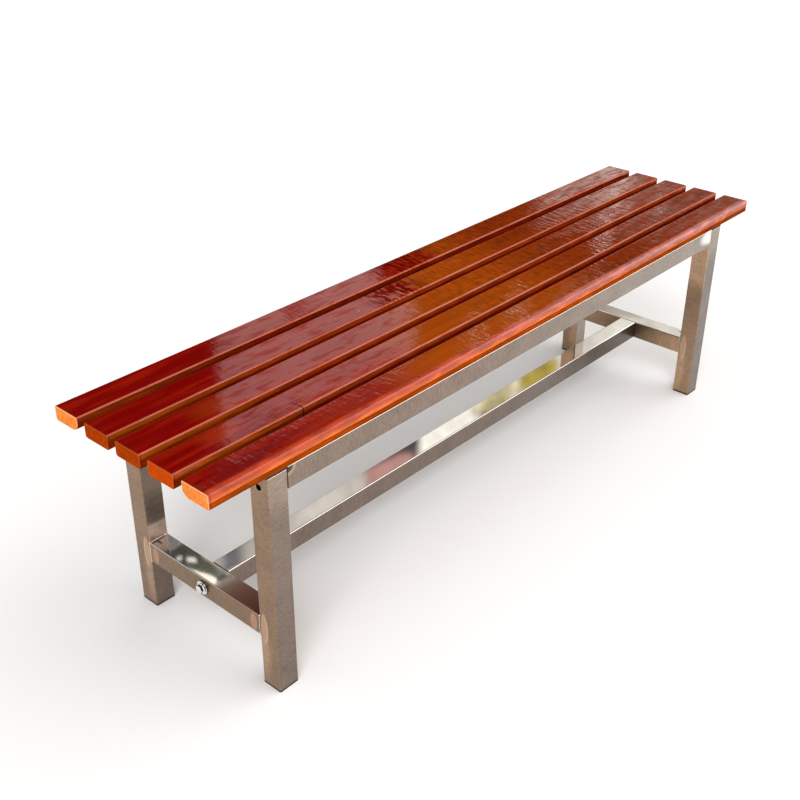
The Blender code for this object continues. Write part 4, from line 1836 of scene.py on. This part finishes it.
@dataclass
class WeldBeads:
    """The beads round the crossbars' ends and the cross members' ends."""

    flush_radius: float = 0.0005
    corner_radius: float = 0.0013
    ground_radius: float = 0.0002
    spacing: float = 0.00045
    ripple: float = 0.16
    steps_in_ripple: int = 4
    wander: float = 0.12
    sides: int = 8
    seed: int = 7
    tube_corner: float = 0.0020
    corner_steps: int = 4
    ground_share: float = 0.99

    def tree(self) -> GeometryNodeTree:
        """Run a rippled bead along every path.

        Returns:
            The tree.
        """
        tree = Tree("weld_bead")
        spacing = tree.ask("Spacing", "Float", self.spacing)
        ripple = tree.ask("Ripple", "Float", self.ripple)
        steps = tree.ask("Steps in Ripple", "Int", self.steps_in_ripple)
        wander = tree.ask("Wander", "Float", self.wander)
        sides = tree.ask("Sides", "Int", self.sides)
        seed = tree.ask("Seed", "Int", self.seed)
        material = tree.ask("Material", "Material")
        path = tree.shape("GeometryNodeMeshToCurve", None, {"Mesh": tree.entry.outputs["Geometry"]})
        path = tree.shape("GeometryNodeResampleCurve", {"mode": "LENGTH"}, {"Curve": path, "Length": spacing})
        size = tree.value("GeometryNodeInputNamedAttribute", {"data_type": "FLOAT"}, {"Name": "bead"})
        index = tree.value("GeometryNodeInputIndex")
        wave = tree.maths("SINE", index * (2 * math.pi) / steps)
        feeds = {2: -1.0, 3: 1.0, "Seed": seed}
        chance = tree.value("FunctionNodeRandomValue", {"data_type": "FLOAT"}, feeds, 1)
        radius = size * (1 + ripple * wave + wander * chance)
        path = tree.shape("GeometryNodeSetCurveRadius", None, {"Curve": path, "Radius": radius})
        section = tree.shape("GeometryNodeCurvePrimitiveCircle", {"mode": "RADIUS"},
                             {"Resolution": sides, "Radius": 1.0})
        bead = tree.shape("GeometryNodeCurveToMesh", None,
                          {"Curve": path, "Profile Curve": section, "Scale": radius})
        return tree.close(bead, material)

    def build(self, finishes: Finishes) -> None:
        """Make the beads, one piece for each end frame and one for the seat frame.

        Args:
            finishes: The bench's materials.
        """
        tree = self.tree()
        for side in SIDES:
            self.bead(f"weld_beads_{side}", [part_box(f"crossbar_{side}")], False, tree, finishes)
        members = [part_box(f"cross_member_{member}") for member in MEMBERS]
        self.bead("weld_beads_seat_frame", members, True, tree, finishes)

    def radius_at(self, up: float, half_height: float, under_slats: bool) -> float:
        """Return the bead's radius at a place on the seam.

        Args:
            up: The place's height above the tube's middle.
            half_height: Half of the tube's height.
            under_slats: Whether the bead is ground away on top, where slats lie, and full elsewhere;
                otherwise it is full above and below the tube, and small on its flush sides.

        Returns:
            The radius.
        """
        if under_slats:
            on_top = up > half_height - self.ground_share * self.tube_corner
            return self.ground_radius if on_top else self.corner_radius
        on_flat = abs(up) > half_height - self.tube_corner / 2
        return self.corner_radius if on_flat else self.flush_radius

    def bead(self, name: str, tubes: Sequence[tuple[Vector, Vector]], under_slats: bool,
             tree: GeometryNodeTree, finishes: Finishes) -> None:
        """Make the beads at both ends of some tubes in one piece.

        Args:
            name: The piece's name.
            tubes: Each tube's box.
            under_slats: Whether slats lie on the tubes.
            tree: The bead's tree.
            finishes: The bench's materials.
        """
        points, edges, sizes = [], [], []
        for (low, high), at_back in itertools.product(tubes, (False, True)):
            middle = (low + high) / 2
            seam_y = high.y if at_back else low.y
            outline = rounded_rectangle(high.x - low.x, high.z - low.z, self.tube_corner, self.corner_steps)
            start = len(points)
            count = len(outline)
            for u, v in outline:
                points.append((middle.x + u, seam_y, middle.z + v))
                sizes.append(self.radius_at(v, (high.z - low.z) / 2, under_slats))
            edges += [(start + i, start + (i + 1) % count) for i in range(count)]
        mesh = wire(name, points, edges)
        layer = mesh.attributes.new("bead", "FLOAT", "POINT")
        layer.data.foreach_set("value", sizes)
        inputs = {"Spacing": self.spacing, "Ripple": self.ripple, "Wander": self.wander,
                  "Steps in Ripple": self.steps_in_ripple, "Sides": self.sides, "Seed": self.seed,
                  "Material": finishes.weld}
        piece = grown(name, mesh, tree, inputs)
        place(smoothed(piece), Slot.TUBE)


@dataclass
class SeatFrame:
    """The two rails under the outer slats and the cross members between them."""

    screw_hole: float = 0.0024
    past_wall: float = 0.003
    hole_sides: int = 16

    def screw_holes(self, numbers: Sequence[int], members: Sequence[str], low: float,
                    high: float) -> list[Hole]:
        """Return upright holes for the slat screws.

        Args:
            numbers: The slats whose screws pass here.
            members: The cross members whose screws pass here.
            low: The underside of the tube.
            high: Its top.

        Returns:
            The holes.
        """
        holes = []
        for member in members:
            for number in numbers:
                screw_low, screw_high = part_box(f"slat_screw_{member}_{number}")
                middle = (screw_low + screw_high) / 2
                start = (middle.x, middle.y, low - self.past_wall)
                end = (middle.x, middle.y, high + self.past_wall)
                holes.append(Hole(Run.Z, start, end, self.screw_hole, self.hole_sides))
        return holes

    def build(self, finishes: Finishes) -> None:
        """Make the rails and cross members.

        Args:
            finishes: The bench's materials.
        """
        for row, slat in zip(ROWS, OUTER_SLATS):
            low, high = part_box(f"rail_{row}")
            holes = self.screw_holes([slat], MEMBERS, low.z, high.z)
            SquareTube(f"rail_{row}", Run.X).build(finishes, holes)
        for member in MEMBERS:
            low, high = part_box(f"cross_member_{member}")
            holes = self.screw_holes(INNER_SLATS, [member], low.z, high.z)
            SquareTube(f"cross_member_{member}", Run.Y).build(finishes, holes)


@dataclass
class Plug:
    """A moulded square plug: its head shows past the tube's end and its hollow stem fills the bore."""

    node: str
    head: float = 0.0035
    corner: float = 0.0020
    ease: float = 0.0008
    stem_corner: float = 0.0008
    stem_wall: float = 0.0020
    stem_size: float = 0.0350
    steps: int = 6
    ease_steps: int = 4
    support: float = 0.0001
    side_draft: float = 0.0002
    gate_radius: float = 0.0045
    gate_depth: float = 0.0004
    gate_over: float = 0.001

    def build(self, finishes: Finishes) -> None:
        """Make the plug in its node's place.

        Args:
            finishes: The bench's materials.
        """
        low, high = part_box(self.node)
        middle = (low + high) / 2
        size = high.x - low.x
        up = self.node.startswith("top")
        face, tip = (high.z, low.z) if up else (low.z, high.z)
        sign = 1 if up else -1
        sections = []
        for step in range(self.ease_steps + 1):
            angle = math.pi / 2 * step / self.ease_steps
            inset = self.ease * (1 - math.sin(angle))
            drop = self.ease * (1 - math.cos(angle))
            sections.append((size - 2 * inset, self.corner - inset / 2, face - sign * drop))
        seat = face - sign * self.head
        stem_bore = self.stem_size - 2 * self.stem_wall
        sections += [(size, self.corner, seat + sign * self.support),
                     (size - self.side_draft, self.corner, seat),
                     (self.stem_size, self.stem_corner, seat), (self.stem_size, self.stem_corner, tip),
                     (stem_bore, self.stem_corner, tip), (stem_bore, self.stem_corner, seat)]
        rings = []
        for width, corner, z in sections:
            outline = rounded_rectangle(width, width, corner, self.steps, self.support)
            rings.append([(middle.x + u, middle.y + v, z) for u, v in outline])
        plug = loft(f"{self.node}_moulding", rings)
        plug.data.materials.append(finishes.plastic)
        start = (middle.x, middle.y, face + sign * self.gate_over)
        end = (middle.x, middle.y, face - sign * self.gate_depth)
        bore(plug, [Hole(Run.Z, start, end, self.gate_radius)])
        place(smoothed(plug), Slot.PLASTIC, self.node)


@dataclass
class EndFrame:
    """One end of the bench: two legs with their plugs, and the crossbar between them."""

    side: str
    access_radius: float = 0.0053
    shank_radius: float = 0.0033
    bolt_hole_radius: float = 0.0043
    past_wall: float = 0.003
    wall: float = 0.0012

    def leg_holes(self, row: str) -> list[Hole]:
        """Return the holes for a rail's screw: a wide one outside and a close one inside.

        Args:
            row: Front or back.

        Returns:
            The two holes.
        """
        sign = SIDES[self.side]
        low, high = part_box(f"leg_{self.side}_{row}")
        bolt_low, bolt_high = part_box(f"rail_bolt_{self.side}_{row}")
        middle = (bolt_low + bolt_high) / 2
        outer, inner = (high.x, low.x) if sign > 0 else (low.x, high.x)
        holes = []
        for face, inward, radius in ((outer, -sign, self.access_radius), (inner, sign, self.shank_radius)):
            start = face - inward * self.past_wall
            end = face + inward * (self.wall + self.past_wall)
            holes.append(Hole(Run.X, (start, middle.y, middle.z), (end, middle.y, middle.z), radius))
        return holes

    def build(self, finishes: Finishes) -> None:
        """Make the end frame.

        Args:
            finishes: The bench's materials.
        """
        for row in ROWS:
            SquareTube(f"leg_{self.side}_{row}", Run.Z).build(finishes, self.leg_holes(row))
            Plug(f"top_plug_{self.side}_{row}").build(finishes)
            Plug(f"foot_plug_{self.side}_{row}").build(finishes)
        low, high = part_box(f"crossbar_{self.side}")
        middle = (low + high) / 2
        hole = Hole(Run.X, (low.x - self.past_wall, middle.y, middle.z),
                    (high.x + self.past_wall, middle.y, middle.z), self.bolt_hole_radius)
        SquareTube(f"crossbar_{self.side}", Run.Y).build(finishes, [hole])


@dataclass
class StretcherJoint:
    """The flanged bolt and its washer that hold one end of the stretcher."""

    side: str
    shank_radius: float = 0.0040
    flange_radius: float = 0.0090
    flange_rim: float = 0.0008
    flange_height: float = 0.0015
    hex_height: float = 0.0050
    across_flats: float = 0.0130
    fillet: float = 0.0004
    chamfer_start: float = 0.96
    chamfer_slope: float = 0.58
    top_share: float = 0.8
    tip_share: float = 0.85
    tip_height: float = 0.0008
    washer_radius: float = 0.0120
    washer_bore: float = 0.0043
    washer_ease: float = 0.0004
    ease_steps: int = 3
    sides: int = 48

    def hexagon(self, angle: float) -> float:
        """Return how far the hexagon's side is from its middle at an angle."""
        from_flat = angle % (math.pi / 3) - math.pi / 6
        return self.across_flats / 2 / math.cos(from_flat)

    def bolt(self, finishes: Finishes) -> None:
        """Make the bolt: shank, sloped flange, and a hexagon with a turned top.

        Args:
            finishes: The bench's materials.
        """
        node = f"stretcher_bolt_{self.side}"
        low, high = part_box(node)
        middle = (low + high) / 2
        sign = SIDES[self.side]
        top, tip = (high.x, low.x) if sign > 0 else (low.x, high.x)
        bearing = top - sign * (self.flange_height + self.hex_height)
        turned_radius = self.across_flats / 2 * self.chamfer_start
        angles = [2 * math.pi * i / self.sides for i in range(self.sides)]
        flange_top = bearing + sign * self.flange_height
        round_rows = [(self.shank_radius * self.tip_share, tip),
                      (self.shank_radius, tip + sign * self.tip_height), (self.shank_radius, bearing),
                      (self.flange_radius, bearing), (self.flange_radius, bearing + sign * self.flange_rim)]
        rows = [[row] * self.sides for row in round_rows]
        rows.append([(self.hexagon(a) + self.fillet, flange_top) for a in angles])
        rows.append([(self.hexagon(a), flange_top + sign * self.fillet) for a in angles])
        shoulder = []
        for a in angles:
            drop = max(0.0, self.hexagon(a) - turned_radius) * self.chamfer_slope
            shoulder.append((self.hexagon(a), top - sign * drop))
        rows.append(shoulder)
        rows += [[(turned_radius * share, top)] * self.sides for share in (1.0, self.top_share)]
        rings = []
        for row in rows:
            rings.append([(x, middle.y + reach * math.cos(a), middle.z + reach * math.sin(a))
                          for (reach, x), a in zip(row, angles)])
        bolt = loft(f"{node}_turned", rings)
        bolt.data.materials.append(finishes.fastener)
        place(smoothed(bolt), Slot.FASTENER, node)

    def washer(self, finishes: Finishes) -> None:
        """Make the washer, with its punched edges rolled over.

        Args:
            finishes: The bench's materials.
        """
        node = f"stretcher_washer_{self.side}"
        low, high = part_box(node)
        middle = (low + high) / 2
        ease = self.washer_ease
        turns = [math.pi / 2 * step / self.ease_steps for step in range(self.ease_steps + 1)]
        inner = self.washer_radius - ease
        sections = [(inner + ease * math.sin(turn), low.x + ease * (1 - math.cos(turn))) for turn in turns]
        sections += [(inner + ease * math.cos(turn), high.x - ease * (1 - math.sin(turn))) for turn in turns]
        sections += [(self.washer_bore, high.x), (self.washer_bore, low.x)]
        rings = []
        for radius, x in sections:
            rings.append([(x, middle.y + u, middle.z + v) for u, v in circle(radius, self.sides)])
        washer = loft(f"{node}_punched", rings, closed=True)
        washer.data.materials.append(finishes.fastener)
        place(smoothed(washer), Slot.FASTENER, node)


@dataclass(frozen=True)
class Zone:
    """A patch of the surroundings, by bearing from +X towards +Y and by height, in degrees.

    Its name says which part of the bench mirrors it to the camera.
    """

    name: str
    bearing: Span
    height: Span
    colour: Colour
    soft: Span = (0.4, 0.3)
    slope: float = 0.0
    mottle: float = 0.5

    def cover(self, bearing: Value, height: Value) -> Value:
        """Return 1 inside the zone, falling to 0 outside it.

        Args:
            bearing: The direction's bearing.
            height: Its height.

        Returns:
            A value from 0 to 1.
        """
        low, high = self.bearing
        bottom, top = self.height
        soft_bearing, soft_height = self.soft
        tilted = height - self.slope * (bearing - low)
        left = bearing.rise(low - soft_bearing, low + soft_bearing)
        right = 1 - bearing.rise(high - soft_bearing, high + soft_bearing)
        above = tilted.rise(bottom - soft_height, bottom + soft_height)
        below = 1 - tilted.rise(top - soft_height, top + soft_height)
        return left * right * above * below


@dataclass
class Studio:
    """The floor, the light and the camera."""

    floor_half: float = 40.0
    floor_colour: Colour = (0.90, 0.90, 0.90)
    key_strength: float = 1.4
    key_spread: float = 28.0
    key_from: Point = (-0.62, -0.42, 0.66)
    camera_place: Point = (-1.4936, -1.16862, 1.2703)
    camera_towards: Point = (0.648002, 0.575506, -0.498886)
    camera_right: Point = (0.665778, -0.746139, 0.004045)
    lens: float = 51.065
    sensor: float = 36.0
    floor_roughness: float = 0.9
    floor_specular: float = 0.1
    stir_scale: float = 24.0
    patch_scale: float = 42.0
    wander: float = 0.7
    sky: Tone = Tone(0.36, (0.56,))
    sky_rise: Span = (5.0, 55.0)
    least_light: float = 0.05
    zones: tuple[Zone, ...] = (
        Zone("all, in shade", (-25.0, 110.0), (-20.0, 56.0), (0.012, 0.012, 0.012), (14.0, 10.0)),
        Zone("right crossbar", (-20.0, 32.2), (24.3, 62.0), (0.80, 0.77, 0.71), (0.5, 0.3)),
        Zone("stretcher, right", (31.7, 33.4), (26.4, 62.0), (0.80, 0.77, 0.71), (0.4, 0.3)),
        Zone("stretcher, middle", (33.2, 40.5), (27.3, 62.0), (1.15, 1.12, 1.03), slope=0.5),
        Zone("stretcher, left", (40.5, 51.6), (33.0, 62.0), (0.68, 0.635, 0.585)),
        Zone("right crossbar, back", (28.4, 33.0), (24.0, 25.3), (0.50, 0.46, 0.39), (0.4, 0.12)),
        Zone("stretcher, yellow", (32.7, 34.9), (27.6, 29.4), (0.44, 0.35, 0.08), (0.35, 0.25), mottle=1.3),
        Zone("stretcher, pale yellow", (34.9, 37.2), (28.8, 30.7),
             (0.66, 0.58, 0.32), (0.7, 0.35), mottle=1.6),
        Zone("stretcher, pink", (40.8, 43.6), (32.5, 34.3), (0.56, 0.31, 0.28)),
        Zone("left crossbar, green", (51.8, 62.0), (34.0, 38.9), (0.085, 0.090, 0.068), mottle=1.2),
        Zone("left crossbar, back", (55.8, 59.0), (34.0, 36.8), (0.30, 0.27, 0.29)),
        Zone("left crossbar, rosy", (51.9, 53.9), (35.5, 38.69), (0.62, 0.54, 0.48), (0.2, 0.15), -0.681),
        Zone("left crossbar, bright edge", (53.25, 55.7), (38.45, 39.6),
             (1.25, 1.17, 1.02), (0.08, 0.06), -0.48, 0.2),
        Zone("left crossbar, first spot", (54.26, 54.74), (37.26, 37.52),
             (1.00, 1.00, 0.96), (0.16, 0.09), -0.25, 0.2),
        Zone("left crossbar, second spot", (55.02, 55.38), (37.01, 37.23),
             (0.80, 0.80, 0.77), (0.14, 0.09), 0.0, 0.2),
        Zone("stretcher, left end", (48.9, 52.75), (35.65, 36.7), (0.46, 0.43, 0.40), (0.8, 0.12), 0.39, 0.6),
        Zone("stretcher, dark strip", (51.5, 52.75), (36.7, 37.75),
             (0.17, 0.16, 0.18), (0.5, 0.12), 0.39, 0.6),
        Zone("slats, edge of the sheen", (40.8, 53.0), (27.6, 32.5),
             (0.10, 0.085, 0.08), slope=0.30, mottle=1.0),
        Zone("slats, sheen", (40.8, 51.9), (14.0, 27.6), (0.95, 0.88, 0.85), (0.25, 0.15), 0.41, 0.35),
        Zone("back slats, gap in the sheen", (36.0, 42.9), (18.0, 24.7), (0.012, 0.012, 0.012), (0.3, 0.4)),
        Zone("back slat, dark patch", (46.8, 48.2), (24.7, 25.9), (0.20, 0.18, 0.17), (0.5, 0.4)),
        Zone("slats, right end", (-5.0, 30.0), (4.0, 20.9), (0.44, 0.41, 0.37), (1.0, 0.6), mottle=1.8),
        Zone("slats, glare", (29.8, 34.2), (4.0, 20.5), (1.40, 1.32, 1.24), (0.8, 0.5), mottle=1.4),
        Zone("second slat, glint", (30.35, 31.27), (21.14, 21.58),
             (5.00, 4.70, 4.50), (0.14, 0.09), mottle=0.8),
        Zone("second slat, far glint", (27.74, 28.42), (19.48, 19.82),
             (4.20, 3.95, 3.80), (0.12, 0.08), mottle=0.8),
        Zone("fourth slat, far glint", (29.81, 30.49), (18.73, 19.05),
             (4.20, 3.95, 3.80), (0.12, 0.08), mottle=0.8),
        Zone("first slat, middle glint", (34.70, 35.48), (24.98, 25.46),
             (3.40, 3.15, 2.70), (0.14, 0.10), mottle=0.8),
        Zone("first slat, near glint", (36.95, 37.73), (26.36, 26.88),
             (3.00, 2.75, 2.35), (0.14, 0.10), mottle=0.8),
        Zone("front slat, rounded edge", (-80.0, 0.0), (4.0, 62.0),
             (2.30, 2.20, 2.12), (12.0, 8.0), mottle=0.0))

    def floor(self) -> None:
        """Make the floor, a plain pale plane."""
        half = self.floor_half
        mesh = bpy.data.meshes.new("floor")
        corners = [(-half, -half, 0), (half, -half, 0), (half, half, 0), (-half, half, 0)]
        mesh.from_pydata(corners, [], [(0, 1, 2, 3)])
        finish = Paint("pale_floor").dress(Base_Color=self.floor_colour, Roughness=self.floor_roughness,
                                           Specular_IOR_Level=self.floor_specular)
        mesh.materials.append(finish)
        link("floor", mesh)

    def key(self) -> None:
        """Make the large soft key light."""
        data = bpy.data.lights.new("key", "SUN")
        data.energy = self.key_strength
        data.angle = math.radians(self.key_spread)
        lamp = bpy.data.objects.new("key", data)
        lamp.rotation_euler = Vector(self.key_from).to_track_quat("Z", "Y").to_euler()
        bpy.context.scene.collection.objects.link(lamp)

    def surroundings(self) -> None:
        """Light the scene by direction: pale above, and zones that the varnish and the steel mirror."""
        world = bpy.data.worlds.new("studio")
        world.use_nodes = True
        bpy.context.scene.world = world
        sheet = Sheet(world.node_tree)
        direction = sheet.node("ShaderNodeTexCoord").outputs["Generated"]
        split = sheet.node("ShaderNodeSeparateXYZ", None, {0: direction})
        x, y, z = (Value(sheet, split.outputs[i]) for i in range(3))
        stir, patches = (sheet.value("ShaderNodeTexNoise", None,
                                     {"Vector": direction, "Scale": scale, "Detail": detail})
                         for scale, detail in ((self.stir_scale, 2.0), (self.patch_scale, 3.0)))
        height = z.maths("ARCSINE") * DEGREES + self.wander * stir.swing()
        bearing = y.maths("ARCTAN2", x) * DEGREES + self.wander * patches.swing()
        colour = sheet.shade(WHITE, self.sky.of(height.rise(*self.sky_rise)))
        for zone in self.zones:
            lit = sheet.shade(zone.colour, (1 + 2 * zone.mottle * patches.swing()).larger(self.least_light))
            colour = sheet.blend(zone.cover(bearing, height), colour, lit)
            colour.node.label = zone.name
        background = world.node_tree.nodes["Background"]
        sheet.feed(background.inputs["Color"], colour)
        background.inputs["Strength"].default_value = 1.0

    def camera(self) -> None:
        """Make the camera at the photograph's viewpoint."""
        data = bpy.data.cameras.new("camera")
        data.lens = self.lens
        data.sensor_width = self.sensor
        towards = Vector(self.camera_towards).normalized()
        right = Vector(self.camera_right)
        right = (right - right.dot(towards) * towards).normalized()
        up = right.cross(towards)
        camera = bpy.data.objects.new("camera", data)
        turn = Matrix((right, up, -towards)).transposed().to_4x4()
        camera.matrix_world = Matrix.Translation(Vector(self.camera_place)) @ turn
        bpy.context.scene.collection.objects.link(camera)
        bpy.context.scene.camera = camera

    def build(self) -> None:
        """Set the scene."""
        self.floor()
        self.key()
        self.surroundings()
        self.camera()
        bpy.context.scene.view_settings.view_transform = "Standard"


def dress_hidden(frame: dict, finishes: Finishes) -> None:
    """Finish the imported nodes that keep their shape: the rails' screws and the nut plates.

    Args:
        frame: The loaded frame.
        finishes: The bench's materials.
    """
    for side in SIDES:
        for row in ROWS:
            dress_node(frame, f"rail_bolt_{side}_{row}", finishes.fastener)
            dress_node(frame, f"rail_nut_plate_{side}_{row}", finishes.plate)
        dress_node(frame, f"stretcher_nut_plate_{side}", finishes.plate)


def main() -> None:
    """Build the bench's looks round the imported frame."""
    logging.basicConfig(level=logging.INFO, format="%(name)s: %(message)s")
    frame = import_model()
    finishes = Finishes()
    Studio().build()
    Seat().build(finishes)
    SlatScrews().build(finishes)
    SeatFrame().build(finishes)
    SquareTube("stretcher", Run.X).build(finishes)
    for side in SIDES:
        EndFrame(side).build(finishes)
        joint = StretcherJoint(side)
        joint.bolt(finishes)
        joint.washer(finishes)
    WeldBeads().build(finishes)
    dress_hidden(frame, finishes)


if __name__ == "__main__":
    main()
